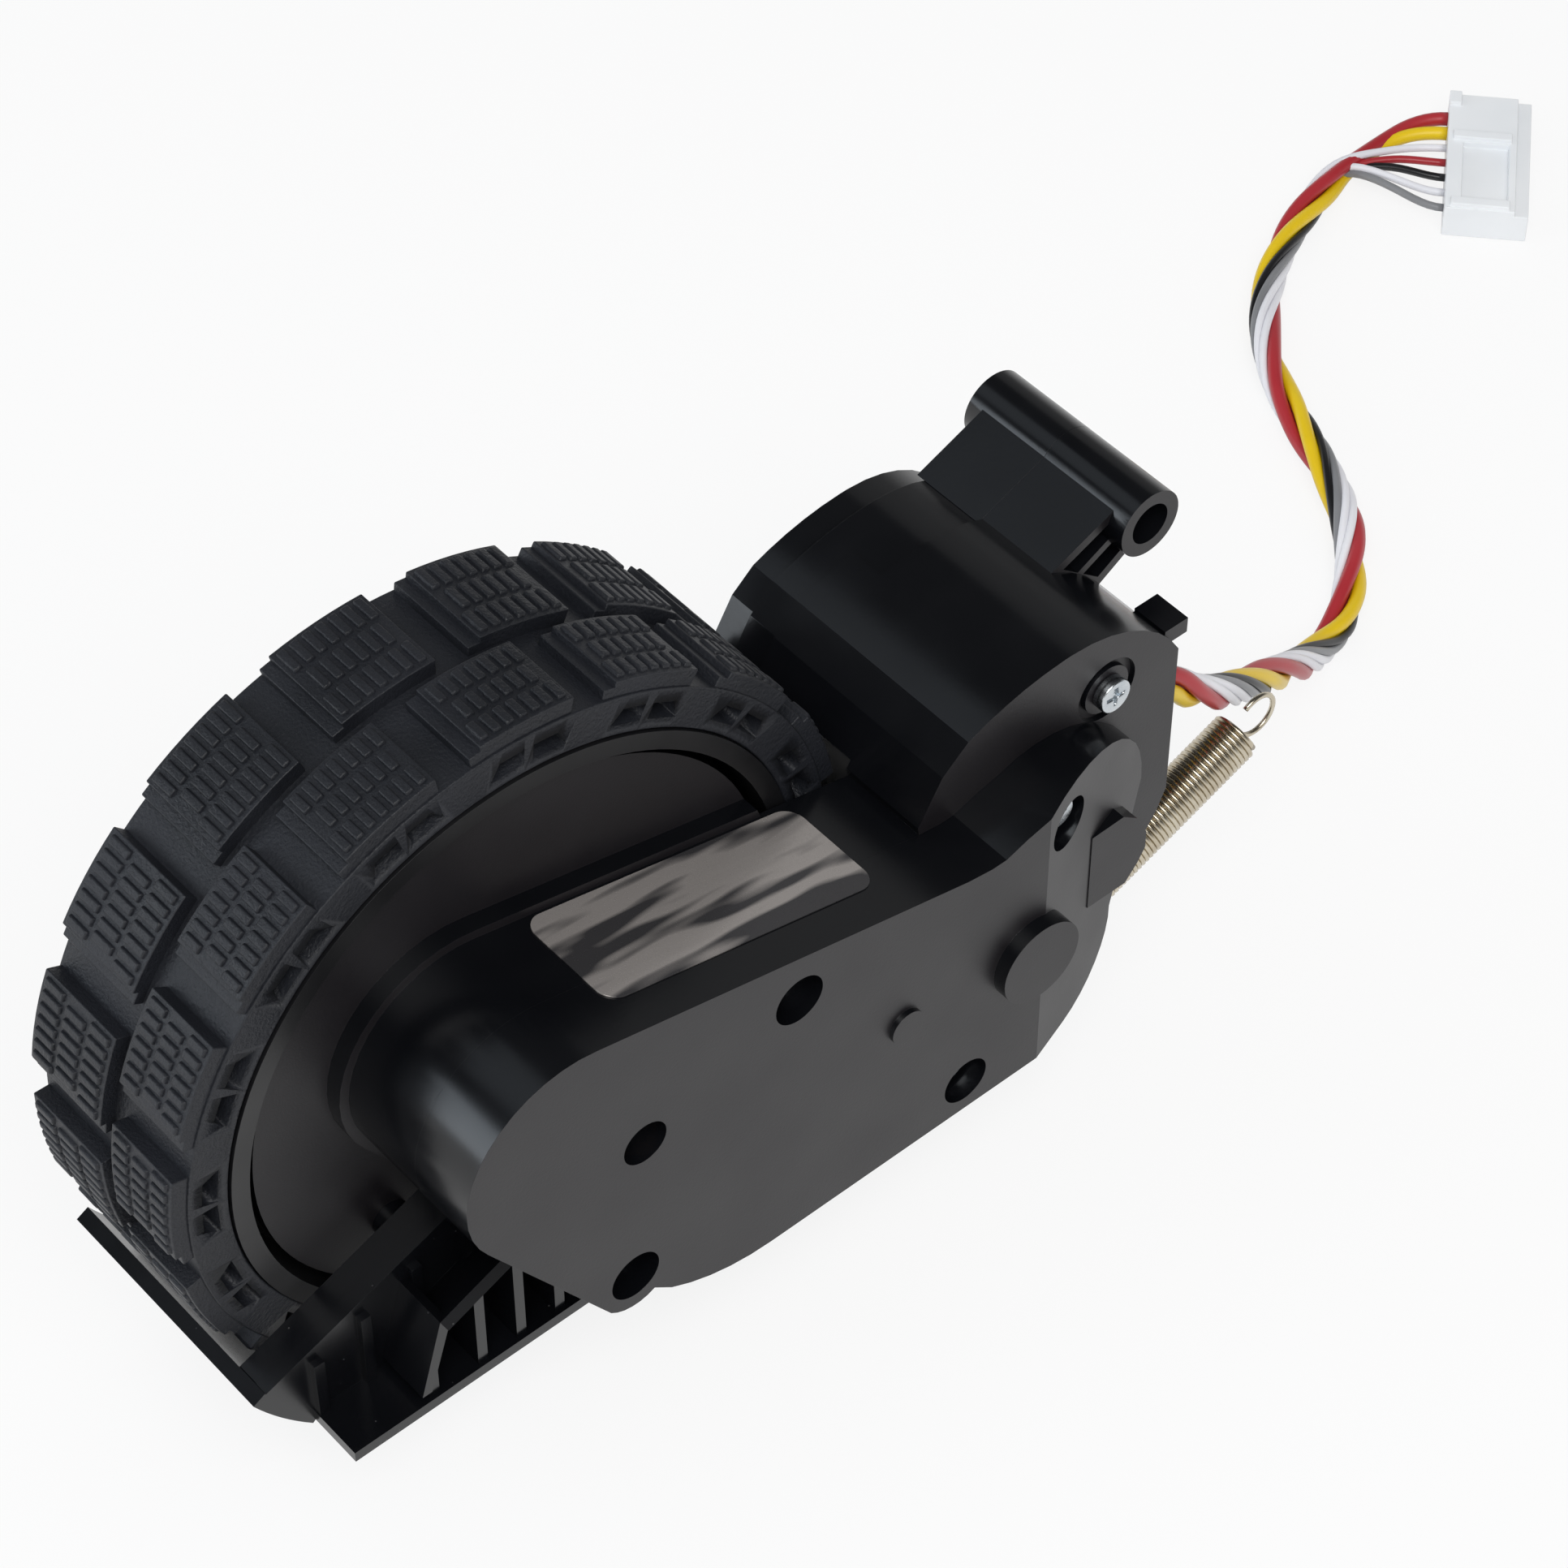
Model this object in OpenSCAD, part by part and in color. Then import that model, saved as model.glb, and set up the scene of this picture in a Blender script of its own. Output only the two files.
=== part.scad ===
// Drive wheel module of a robot vacuum: a sprung wheel with its gearbox, motor and lead.
// It is drawn as it sits in the machine: the wheel axis runs along Y, Z is up,
// and the tyre stands on the floor at Z = 0.

/* [Wheel] */
// Outside diameter over the tread blocks
tyre_d = 70; // [69:0.1:70.6]
// Width of the tyre
tyre_w = 19.6; // [18.6:0.1:21]
// Depth of the grooves between the tread blocks
groove_depth = 1.8; // [1:0.1:2.4]
// Thickness of the rubber under the grooves
tyre_wall = 4; // [3:0.1:5]
// Tread blocks in each of the two staggered rows
blocks_per_row = 16; // [12:1:20]
// Share of the pitch that one tread block takes
block_share = 0.68; // [0.5:0.01:0.8]
// Groove between the two rows of blocks
row_gap = 0.8; // [0.4:0.1:1.6]
// Thickness of the rim band under the tyre
rim_wall = 1.8; // [1.4:0.1:2.4]
// Thickness of the web between hub and rim band
web_t = 2; // [1.4:0.1:3]
// Radius of the wheel hub
hub_r = 6.5; // [5:0.1:9]
// Ribs between hub and rim band, on the far side of the web
spokes = 10; // [6:1:16]
// Diameter of the axle
axle_d = 4; // [3.6:0.1:4.2]
// Outside diameter of the two axle bushes
bush_d = 7; // [6.4:0.1:7.6]
// Length of an axle bush
bush_l = 3; // [2:0.1:3.4]

/* [Gear train] */
// Teeth of the gear on the axle
out_teeth = 28; // [26:1:28]
// Teeth of the pinion on the third gear
third_pinion = 12; // [11:1:13]
// Module of the axle gear pair
out_module = 0.75; // [0.7:0.01:0.78]
// Teeth of the third gear
third_teeth = 30; // [28:1:31]
// Teeth of the pinion on the second gear
second_pinion = 20; // [18:1:20]
// Module of the third gear pair
third_module = 0.6; // [0.55:0.01:0.62]
// Teeth of the second gear
second_teeth = 44; // [42:1:45]
// Teeth of the first gear
first_teeth = 30; // [28:1:31]
// Teeth of the pinion on the first gear and on the motor
small_pinion = 10; // [10:1:11]
// Module of the two fast gear pairs
fast_module = 0.5; // [0.48:0.01:0.51]
// Diameter of the pins that the idle gears turn on
gear_pin_d = 2; // [1.6:0.1:2.4]
// Radial running clearance of gears and axle
run_gap = 0.04; // [0.02:0.01:0.08]

/* [Gearbox] */
// How far the flat face of the cover stands in front of the tyre
cover_front = 16; // [15.6:0.1:17]
// How far the parting line stands in front of the tyre
parting = 9.4; // [9.2:0.1:9.6]
// How far the face of the housing disc lies inside the tyre
disc_in = 0.85; // [0.6:0.05:1.4]
// Wall of the mouldings
wall = 1.5; // [1.2:0.1:1.8]
// Height of the bottom of the housing above the floor
belly_h = 10.4; // [9.6:0.1:11]
// Radial gap between the housing disc and the rim band
disc_gap = 1; // [0.6:0.1:1.6]
// Angle at which the cover slopes back at the motor end
slope_deg = 18.3; // [12:0.1:20]

/* [Motor] */
// Diameter of the motor can
motor_d = 24.4; // [22:0.1:24.8]
// Length of the motor can
motor_l = 19.4; // [16:0.1:21]
// Diameter of the motor shaft
motor_shaft_d = 2; // [1.5:0.1:2.3]
// How far the seam of the motor barrel lies behind the near face of the tyre
seam_y = 8.5; // [7:0.1:10]
// Room between the encoder board and the far wall of the barrel
board_room = 0.6; // [0.2:0.1:1.2]

/* [Pivot] */
// Distance of the pivot axis from the wheel axis, along X
pivot_x = 68; // [67:0.1:69.5]
// Height of the pivot axis over the wheel axis
pivot_z = 15.5; // [15:0.1:17]
// Bore of the pivot sleeve
pivot_bore = 4.1; // [3:0.1:4.6]
// Outside diameter of the pivot sleeve
pivot_d = 6.7; // [6:0.1:7.4]
// Length of the pivot sleeve
pivot_l = 20; // [16:0.1:20.4]

/* [Spring] */
// Outside diameter of the coil
spring_d = 4.9; // [4:0.1:5.2]
// Diameter of the spring wire
spring_wire = 0.65; // [0.4:0.05:0.8]
// Length of the closed coil
spring_l = 21; // [16:0.5:22]

/* [Lead] */
// Diameter of the twisted wire bundle
lead_d = 3.4; // [2.6:0.1:3.6]
// Ways of the plug
ways = 7; // [5:1:8]
// Pitch of the ways
way_pitch = 2.5; // [2:0.1:2.8]

/* [Hidden] */
$fn = 96;
seat_gap = 0.02;
part_gap = 0.3;

// The wheel, from the ground inwards. All of this is about the wheel axis.
tyre_r = tyre_d / 2;
groove_r = tyre_r - groove_depth;
seat_r = groove_r - tyre_wall;
rim_in_r = seat_r - rim_wall;
rim_lip = 0.2;
disc_r = rim_in_r - disc_gap;
block_pitch = 360 / blocks_per_row;
first_block = 18;
axle_r = axle_d / 2;
bush_r = bush_d / 2;
boss_r = bush_r + 1.6;

// Depths along Y, from the cover in front (negative) to the far side of the wheel.
cover_y = -cover_front;
part_y = -parting;
plate_t = 1.4;
bulk_y = part_y + plate_t;
disc_y = disc_in;
disc_far = disc_y + wall;
back_y = -rim_lip - part_gap;
bush_far = disc_y + bush_l + 1.6;
web_y = bush_far + 1.2;
hub_far = 16.4;
rim_far = tyre_w - 0.2;

// Layers of the gear train.
second_y = [cover_y + 1.9, cover_y + 3.8];
first_pinion_y = [second_y[0] - 0.1, second_y[1] + 0.3];
first_y = [part_y - 1.9, part_y - 0.5];
motor_pinion_y = [first_y[0] - 0.1, first_y[1] + 0.2];
second_pinion_y = [part_y + 0.2, part_y + 3.5];
third_y = [second_pinion_y[0] + 0.4, second_pinion_y[1] - 0.5];
third_pinion_y = [third_y[1], disc_y - 1.4];
output_y = [third_pinion_y[0] + 1, third_pinion_y[1] - 0.6];

// The motor with its end cap, and the encoder magnet and board behind it.
shaft_r = motor_shaft_d / 2;
motor_y0 = bulk_y;
motor_y1 = motor_y0 + motor_l;
cap_t = 1.6;
rear_boss = 1.6;
magnet_y = motor_y1 + cap_t + rear_boss + 0.4;
magnet_t = 1;
board_y = magnet_y + magnet_t + 0.1;
board_t = 0.8;
barrel_far = board_y + board_t + board_room + wall;

// Gear axes, each one mesh distance from the last, as [x, z] from the wheel axis.
third_dir = -30;
second_dir = 1;
first_dir = -7;
motor_dir = 24.5;
function polar(r, a) = r * [cos(a), sin(a)];
axle_at = [0, 0];
third_at = axle_at + polar(out_module * (out_teeth + third_pinion) / 2, third_dir);
second_at = third_at + polar(third_module * (third_teeth + second_pinion) / 2, second_dir);
first_at = second_at + polar(fast_module * (second_teeth + small_pinion) / 2, first_dir);
motor_at = first_at + polar(fast_module * (first_teeth + small_pinion) / 2, motor_dir);

// Outline of the gearbox: nose, ear at the lowest screw, foot, motor end and top.
belly_z = belly_h - tyre_r;
nose_at = [-7.2, 5];
nose_r = 10.6;
ear_at = [-1.5, belly_z + 8.1];
ear_r = 3.9;
foot_r = 20.6;
foot_at = [13.2, belly_z + foot_r];
corner_r = 7.4;
corner_at = motor_at + [-1.9, belly_z - motor_at[1] + corner_r];
end_r = 11.8;
end_at = motor_at + [-2, 0.7];
dip_at = second_at + [9.4, 12.7];

function arc(c, r, a0, a1, n) = [for (i = [0:n]) c + polar(r, a0 + (a1 - a0) * i / n)];
gearbox_line = concat(arc(ear_at, ear_r, 226, 300, 6), arc(foot_at, foot_r, 238, 270, 5),
                      arc(corner_at, corner_r, 270, 365, 8), arc(end_at, end_r, 0, 112, 11),
                      [dip_at + [4, 0.8], dip_at + [1.6, 0], dip_at, dip_at - [2.6, -0.4]],
                      arc(nose_at, nose_r, 75, 214, 15));

// Outline of the motor barrel: belly round the can, flat right wall, low arched top.
drum_in = motor_d / 2 + 0.1;
drum_r = drum_in + 1.4;
drum_edge = motor_at[0] - drum_r - 1.4;
belly_r = drum_r + 1.5;
side_x = motor_at[0] + belly_r - 0.8;
belly_a = -acos((belly_r - 0.8) / belly_r);
crown_at = motor_at + [1.5, 6.2];
crown_r = belly_r - 0.7;
back_r = 28;
back_at = crown_at + [0, crown_r - back_r];
barrel_low = motor_at[1] - belly_r;
barrel_line = concat([[drum_edge, barrel_low]], arc(motor_at, belly_r, -90, belly_a, 8),
                     arc(crown_at, crown_r, acos((side_x - crown_at[0]) / crown_r), 90, 7),
                     arc(back_at, back_r, 92, 114.5, 5),
                     [crown_at + [-14.4, crown_r - 4.9], crown_at + [-17, crown_r - 9.3], [drum_edge, 4]]);

// The arch that keeps the barrel clear of the tyre.
arch_r = tyre_r + 1.2;
arch_wall = 1.4;
seam_step = 3.5;
step_x = motor_at[0] - 4;

pivot_at = [pivot_x, pivot_z];
pivot_r = pivot_d / 2;
pivot_near = -2;
pivot_far = pivot_near + pivot_l;

// Screws: the gearbox cover's four, then the barrel's two.
screw_r = 1;
head_r = 1.7;
head_t = 1.2;
post_r = 2.4;
recess_wall = 0.9;
cover_holes = [[16.3, 5.1], [second_at[0] + 7.4, belly_z + 3.8], ear_at, motor_at + [-3.3, 7.9]];
cover_recess = [2.5, 2.4, 2.5, 2.5];
cover_sink = [4.6, 3.2, 5.4, 3.6];
cover_screw_l = [8, 8, 8, 4.2];
motor_end_rise = 2.1;
barrel_holes = [motor_at + polar(drum_in + post_r + 0.03, 66.4),
                motor_at + polar(drum_in + post_r + 1.13, 117.9)];
barrel_screw_l = 20;

// Spring: it lies in a plane across the pivot and pulls up and to the right.
spring_y = -6;
spring_dir = 21.8;
spring_r = spring_d / 2;
wire_r = spring_wire / 2;
loop_r = 1.9;
hook_r = 2.2;
anchor_at = motor_at + [5.7, -belly_r - 2.7];
coil_start = loop_r + 0.1;
post_pin_r = 1.15;

// Lead: leaves the barrel wall, sinks to the floor and runs on to its plug.
lead_r = lead_d / 2;
outlet = [side_x + wall, -5, -1];
floor_z = -tyre_r;
lead_z = floor_z + lead_r;
lead_path = [[64, -5, -1], [66.5, -5, -1.1], [69.5, -4.9, -3], [72.5, -4.6, -6.3],
             [76.5, -3.6, -10], [82, -1.6, -14.6], [88, 0.8, -19.4], [94.5, 3.6, -25],
             [100.5, 6.4, -30], [105, 8.4, -32.6], [109, 9.9, lead_z], [113, 12.4, lead_z],
             [117, 16, lead_z], [120.6, 20.6, lead_z], [123.4, 26, lead_z],
             [126.2, 32.5, lead_z], [129.4, 39, lead_z], [134, 45.4, lead_z],
             [139.6, 50.4, lead_z], [146, 54.2, lead_z], [152.6, 56.6, lead_z],
             [158.4, 57.8, lead_z], [163.6, 55.6, lead_z], [167.5, 51.5, lead_z]];
plug_l = 9;
plug_h = 4.4;
plug_w = way_pitch * (ways - 1) + 4.2;
plug_turn = -48;
plug_at = lead_path[len(lead_path) - 1];
plug_ribs = [0.8 - plug_w / 2, plug_w / 2 - 7.2];

// The whole part stands on its tyre, centred over its box without the lead.
hook_at = anchor_at + polar(coil_start + spring_l + hook_r + 0.1, spring_dir);
boss_proud = 1.4;
guard_far = 20;
mid_x = (hook_at[0] + hook_r + wire_r - tyre_r) / 2;
mid_y = (guard_far + cover_y - boss_proud) / 2;

module place() {
    translate([-mid_x, -mid_y, tyre_r]) children();
}

// Draws an [x, z] outline as a plate from depth y0 to depth y1.
module plate(y0, y1) {
    translate([0, y1, 0]) rotate([90, 0, 0]) linear_extrude(y1 - y0) children();
}

// A rod along Y from y0 to y1 about the point [x, z].
module rod(at, r, y0, y1) {
    translate([at[0], y1, at[1]]) rotate([90, 0, 0]) cylinder(r = r, h = y1 - y0);
}

module tube(at, r_out, r_in, y0, y1) {
    difference() {
        rod(at, r_out, y0, y1);
        rod(at, r_in, y0 - 1, y1 + 1);
    }
}

// Outline moved inwards by d, with its corners kept sharp.
function unit(v) = v / norm(v);
function left(v) = [-v[1], v[0]];
function inset(p, d) = [for (i = [0:len(p) - 1])
    let (u = left(unit(p[i] - p[(i + len(p) - 1) % len(p)])),
         v = left(unit(p[(i + 1) % len(p)] - p[i])))
    p[i] + d * (u + v) / (1 + u * v)];

// Involute gear outline: pressure angle 25, short addendum, slightly thin teeth.
press_a = 25;
function roll(rb, r) = r <= rb ? 0 : sqrt(pow(r / rb, 2) - 1) * 180 / PI - acos(rb / r);
function flank(rb, r, half) = half - roll(rb, r);
function gear_line(m, z, turn) =
    let (rp = m * z / 2, rb = rp * cos(press_a), ra = rp + 0.9 * m, rr = rp - 1.15 * m,
         half = 90 / z - 1.7 / rp + roll(rb, rp), rs = max(rb, rr + 0.05))
    [for (i = [0:z - 1]) let (c = turn + 360 * i / z)
        each concat([polar(rr, c - half - 60 / z * 0.35)],
                    [for (k = [0:3]) let (r = rs + (ra - rs) * k / 3) polar(r, c - flank(rb, r, half))],
                    [for (k = [3:-1:0]) let (r = rs + (ra - rs) * k / 3) polar(r, c + flank(rb, r, half))],
                    [polar(rr, c + half + 60 / z * 0.35)])];

module gear(at, m, z, turn, y0, y1) {
    plate(y0, y1) translate(at) polygon(gear_line(m, z, turn));
}

// Turns that mesh each gear with the one before it along their line of centres.
function opposite(z, dir) = dir + 180 + 180 / z;
out_turn = third_dir;
third_pinion_turn = opposite(third_pinion, third_dir);
third_turn = second_dir;
second_pinion_turn = opposite(second_pinion, second_dir);
second_turn = first_dir;
first_pinion_turn = opposite(small_pinion, first_dir);
first_turn = motor_dir;
motor_turn = opposite(small_pinion, motor_dir);

// One tread block as a wedge between two rays, cut to the tread's outside circle.
module block(a, y0, y1) {
    half = block_pitch * block_share / 2;
    far = tyre_r * 1.2;
    intersection() {
        tube(axle_at, tyre_r, groove_r - 0.5, y0, y1);
        plate(y0, y1) polygon([polar(groove_r * 0.9, a - half), polar(far, a - half),
                               polar(far, a + half), polar(groove_r * 0.9, a + half)]);
    }
}

module pocket(a) {
    r0 = seat_r + 1.2;
    r1 = groove_r - 1.3;
    for (s = [-1, 1]) plate(-0.1, 5) polygon([polar(r0, a + s * 0.8), polar(r1, a + s * 0.8),
                                               polar(r1, a + s * 5.2), polar(r0, a + s * 7)]);
}

module tyre() {
    row_w = (tyre_w - row_gap) / 2;
    color("#222326") place() difference() {
        union() {
            tube(axle_at, groove_r, seat_r, 0, tyre_w);
            for (i = [0:blocks_per_row - 1]) {
                block(first_block + i * block_pitch, 0, row_w);
                block(first_block + (i + 0.5) * block_pitch, row_w + row_gap, tyre_w);
            }
        }
        for (i = [0:blocks_per_row - 1]) pocket(first_block + i * block_pitch);
    }
}

// The near bush sits behind the cover's axle hole. The axle ends inside it.
bush_near = cover_y + 3;

// The axle's far end has one flat, and the hub's bore has the same flat.
flat_x = axle_r * 0.75;
drive_y = web_y + 1;
module axle_flat(extra) {
    far = hub_far + 1;
    difference() {
        rod(axle_at, axle_r * 2, drive_y, far);
        translate([flat_x + extra - 20, drive_y - 1, -10]) cube([20, far - drive_y + 2, 20]);
    }
}

module wheel_rim() {
    color("#1b1b1d") place() difference() {
        union() {
            tube(axle_at, seat_r - seat_gap, rim_in_r, -rim_lip, rim_far);
            rod(axle_at, rim_in_r + 0.5, web_y, web_y + web_t);
            rod(axle_at, hub_r, web_y, hub_far);
            for (i = [0:spokes - 1]) rotate([0, -i * 360 / spokes, 0])
                translate([hub_r - 1, web_y + web_t - 0.5, -0.8])
                    cube([rim_in_r - hub_r + 1.5, hub_far - web_y - web_t, 1.6]);
        }
        difference() {
            rod(axle_at, axle_r + seat_gap, web_y - 1, hub_far + 1);
            axle_flat(seat_gap);
        }
    }
}

module axle_shaft() {
    color("#b9bcc0") place() difference() {
        rod(axle_at, axle_r, bush_near + 0.4, hub_far - 0.3);
        axle_flat(0);
        rod(axle_at, screw_r + seat_gap, hub_far - 7, hub_far + 1);
    }
}

module axle_bushes() {
    color("#a8874f") place() {
        tube(axle_at, bush_r, axle_r + run_gap, bush_near, bush_near + bush_l);
        tube(axle_at, bush_r, axle_r + run_gap, bush_far - bush_l, bush_far);
    }
}

washer_t = 0.8;
module hub_washer() {
    color("#c6c8cb") place() tube(axle_at, 3.6, screw_r + 0.15, hub_far, hub_far + washer_t);
}

// A round-headed screw with its head towards -Y and a cross recess.
module screw(at, head_y, length) {
    difference() {
        union() {
            rod(at, head_r, head_y, head_y + head_t);
            rod(at, screw_r, head_y + head_t - 0.1, head_y + head_t + length);
        }
        for (a = [0, 90]) translate([at[0], head_y - 0.1, at[1]]) rotate([0, a, 0])
            translate([-head_r * 0.6, 0, -0.2]) cube([head_r * 1.2, 0.8, 0.4]);
    }
}

// The same screw driven from the far side.
module screw_back(at, head_y, length) {
    translate([0, head_y, 0]) mirror([0, 1, 0]) screw(at, 0, length);
}

module hub_screw() {
    color("#c6c8cb") place() screw_back(axle_at, hub_far + washer_t + head_t, 6.5);
}

module output_gear() {
    color("#d9d6cc") place() difference() {
        union() {
            gear(axle_at, out_module, out_teeth, out_turn, output_y[0], output_y[1]);
            rod(axle_at, 4, bush_near + bush_l + 0.2, disc_y - 0.2);
        }
        rod(axle_at, axle_r + seat_gap, cover_y, web_y);
    }
}

module third_gear() {
    color("#d9d6cc") place() difference() {
        union() {
            gear(third_at, third_module, third_teeth, third_turn, third_y[0], third_y[1]);
            gear(third_at, out_module, third_pinion, third_pinion_turn,
                 third_pinion_y[0] - 0.1, third_pinion_y[1]);
            rod(third_at, 3, third_y[0] - 2.4, third_y[0] + 1);
        }
        rod(third_at, gear_pin_d / 2 + run_gap, cover_y, disc_y);
    }
}

module second_gear() {
    color("#e6e3d8") place() difference() {
        union() {
            gear(second_at, fast_module, second_teeth, second_turn, second_y[0], second_y[1]);
            rod(second_at, 3.2, second_y[1] - 0.1, second_pinion_y[0] + 0.1);
            gear(second_at, third_module, second_pinion, second_pinion_turn,
                 second_pinion_y[0], second_pinion_y[1]);
        }
        rod(second_at, gear_pin_d / 2 + run_gap, cover_y, disc_y);
    }
}

module first_gear() {
    color("#e6e3d8") place() difference() {
        union() {
            gear(first_at, fast_module, small_pinion, first_pinion_turn,
                 first_pinion_y[0], first_pinion_y[1]);
            rod(first_at, 1.75, first_pinion_y[1] - 0.1, first_y[0] + 0.1);
            gear(first_at, fast_module, first_teeth, first_turn, first_y[0], first_y[1]);
        }
        rod(first_at, gear_pin_d / 2 * 0.6 + run_gap, cover_y, disc_y);
    }
}

// Pins of the idle gears, pressed into both halves of the gearbox.
pin_near = cover_y + 0.7;
first_pin_r = gear_pin_d / 2 * 0.6;
module gear_pins() {
    color("#b9bcc0") place() {
        rod(third_at, gear_pin_d / 2, pin_near, disc_y + 0.8);
        rod(second_at, gear_pin_d / 2, pin_near, back_y - 0.4);
        rod(first_at, first_pin_r, pin_near, bulk_y - 0.3);
    }
}

module motor_pinion() {
    color("#c9a24a") place() difference() {
        gear(motor_at, fast_module, small_pinion, motor_turn, motor_pinion_y[0], motor_pinion_y[1]);
        rod(motor_at, shaft_r + seat_gap, cover_y, disc_y);
    }
}

module motor_shaft() {
    color("#b9bcc0") place() rod(motor_at, shaft_r, motor_pinion_y[0], magnet_y + magnet_t - 0.3);
}

core_y = [motor_y0 + 3, motor_y1 - 5.4];
core_r = motor_d / 2 - 4;
module motor_armature() {
    color("#8d4a2a") place() difference() {
        union() {
            rod(motor_at, 3.6, core_y[0], core_y[1]);
            for (a = [0:120:240]) {
                translate([motor_at[0], 0, motor_at[1]]) rotate([0, a, 0])
                    translate([1, core_y[0] + 2, -1.4]) cube([core_r - 1.8, core_y[1] - core_y[0] - 4, 2.8]);
                intersection() {
                    tube(motor_at, core_r, core_r - 1.4, core_y[0] + 1.5, core_y[1] - 1.5);
                    translate([motor_at[0], 0, motor_at[1]]) rotate([0, a, 0])
                        translate([1, core_y[0], -5]) cube([core_r, core_y[1] - core_y[0], 10]);
                }
            }
        }
        rod(motor_at, shaft_r + seat_gap, motor_y0, motor_y1);
    }
}

commutator_r = 2.6;
module commutator() {
    color("#b87333") place() difference() {
        rod(motor_at, commutator_r, core_y[1] + 0.2, motor_y1 - 1.2);
        rod(motor_at, shaft_r + seat_gap, motor_y0, motor_y1 + 1);
        for (a = [0:120:240]) translate([motor_at[0], 0, motor_at[1]]) rotate([0, a + 30, 0])
            translate([shaft_r + 0.8, core_y[1], -0.15]) cube([3, 5, 0.3]);
    }
}

motor_boss_r = 3;
motor_screw_r = 8;
motor_screw_a = 60;
motor_screw_at = [for (s = [0, 180]) motor_at + polar(motor_screw_r, motor_screw_a + s)];
module motor_can() {
    can_r = motor_d / 2;
    color("#c9cbce") place() difference() {
        union() {
            rod(motor_at, can_r, motor_y0, motor_y1);
            rod(motor_at, motor_boss_r, bulk_y - 1.1, motor_y0 + 0.5);
        }
        rod(motor_at, can_r - 0.9, motor_y0 + 0.9, motor_y1 + 1);
        rod(motor_at, 2, bulk_y - 2, motor_y0 + 2);
        for (at = motor_screw_at) rod(at, screw_r + seat_gap, motor_y0 - 1, motor_y0 + 2);
    }
}

module motor_magnets() {
    color("#3a3c40") place() difference() {
        tube(motor_at, motor_d / 2 - 0.9 - seat_gap, core_r + 0.4, core_y[0], core_y[1] + 1);
        translate([motor_at[0] - motor_d, core_y[0] - 1, motor_at[1] - 2.5])
            cube([motor_d * 2, core_y[1] - core_y[0] + 3, 5]);
    }
}

terminal_r = 8;
module motor_end_cap() {
    color("#e9e4d6") place() difference() {
        union() {
            rod(motor_at, motor_d / 2, motor_y1, motor_y1 + cap_t);
            rod(motor_at, motor_d / 2 - 0.9 - seat_gap, motor_y1 - 0.8, motor_y1 + 0.1);
            rod(motor_at, motor_boss_r, motor_y1, motor_y1 + cap_t + rear_boss);
        }
        rod(motor_at, 2, motor_y1 - 2, motor_y1 + cap_t + rear_boss + 1);
        for (s = [-1, 1]) translate([motor_at[0] - 0.4, motor_y1 - 2, motor_at[1] + s * terminal_r - 1.3])
            cube([0.8, cap_t + 4, 2.6]);
    }
}

module motor_bushes() {
    color("#a8874f") place() {
        tube(motor_at, 2 - seat_gap, shaft_r + run_gap, bulk_y - 1, motor_y0 + 0.8);
        tube(motor_at, 2 - seat_gap, shaft_r + run_gap, motor_y1 + 0.4, motor_y1 + cap_t + rear_boss);
    }
}

// Carbon brushes on leaf springs that stand on the end cap.
module motor_brushes() {
    color("#4a4a4a") place() for (s = [-1, 1])
        translate([motor_at[0] - 1, motor_y1 - 3.2, motor_at[1] + s * (commutator_r + 1.05) - 1])
            cube([2, 2.4, 2]);
}

module motor_terminals() {
    color("#c9a24a") place() for (s = [-1, 1])
        translate([motor_at[0] - 0.3, motor_y1 - 1.6, motor_at[1] + s * terminal_r - 1.2])
            cube([0.6, cap_t + 3.2, 2.4]);
}

module motor_screws() {
    color("#c6c8cb") place() for (at = motor_screw_at) difference() {
        union() {
            rod(at, 1.8, part_y + 0.2, part_y + 0.8);
            rod(at, screw_r, part_y + 0.7, motor_y0 + 1.6);
        }
        translate([at[0] - 1.1, part_y, at[1] - 0.2]) cube([2.2, 0.5, 0.4]);
    }
}

module encoder_magnet() {
    color("#2f3034") place() tube(motor_at, 4.5, shaft_r + seat_gap, magnet_y, magnet_y + magnet_t);
}

// The board reaches from the arch wall to the far side of the motor.
board_x = [arch_r + arch_wall + 2.9, motor_at[0] + 10];
board_h = 15;
board_pegs = [for (x = [board_x[0] + 2, board_x[1] - 2]) [x, motor_at[1]]];
module encoder_board() {
    color("#1f5a3a") place() difference() {
        translate([board_x[0], board_y, motor_at[1] - board_h / 2])
            cube([board_x[1] - board_x[0], board_t, board_h]);
        rod(motor_at, shaft_r + 0.6, board_y - 1, board_y + 2);
        for (at = board_pegs) rod(at, 0.9, board_y - 1, board_y + 2);
    }
}

module hall_sensors() {
    color("#202226") place() for (a = [60, 120])
        translate([motor_at[0] + 6 * cos(a) - 1.5, board_y - 0.8, motor_at[1] + 6 * sin(a) - 0.8])
            cube([3, 0.8, 1.6]);
}

// The gearbox tub ends beside the motor drum, and below it short of the spring.
tub_right = corner_at[0] - 1.5;
module beside_drum(d) {
    far = 100;
    translate([drum_edge - d, barrel_low - d]) square(far);
    translate([tub_right - d, -far]) square([far, 2 * far]);
}

module tub_2d() {
    difference() {
        polygon(gearbox_line);
        beside_drum(-wall);
    }
}

// Outline of the gear chamber inside the tub.
module chamber_2d() {
    difference() {
        polygon(inset(gearbox_line, wall));
        beside_drum(0);
    }
}

module shell_2d(d) {
    polygon(inset(barrel_line, d));
}

// The near half-plane left of the step in the seam.
module step_2d(d) {
    intersection() {
        shell_2d(d);
        translate([-20, -60]) square([20 + step_x, 120]);
    }
}

module arch_cut(y0, y1) {
    rod(axle_at, arch_r, y0, y1);
}

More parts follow.
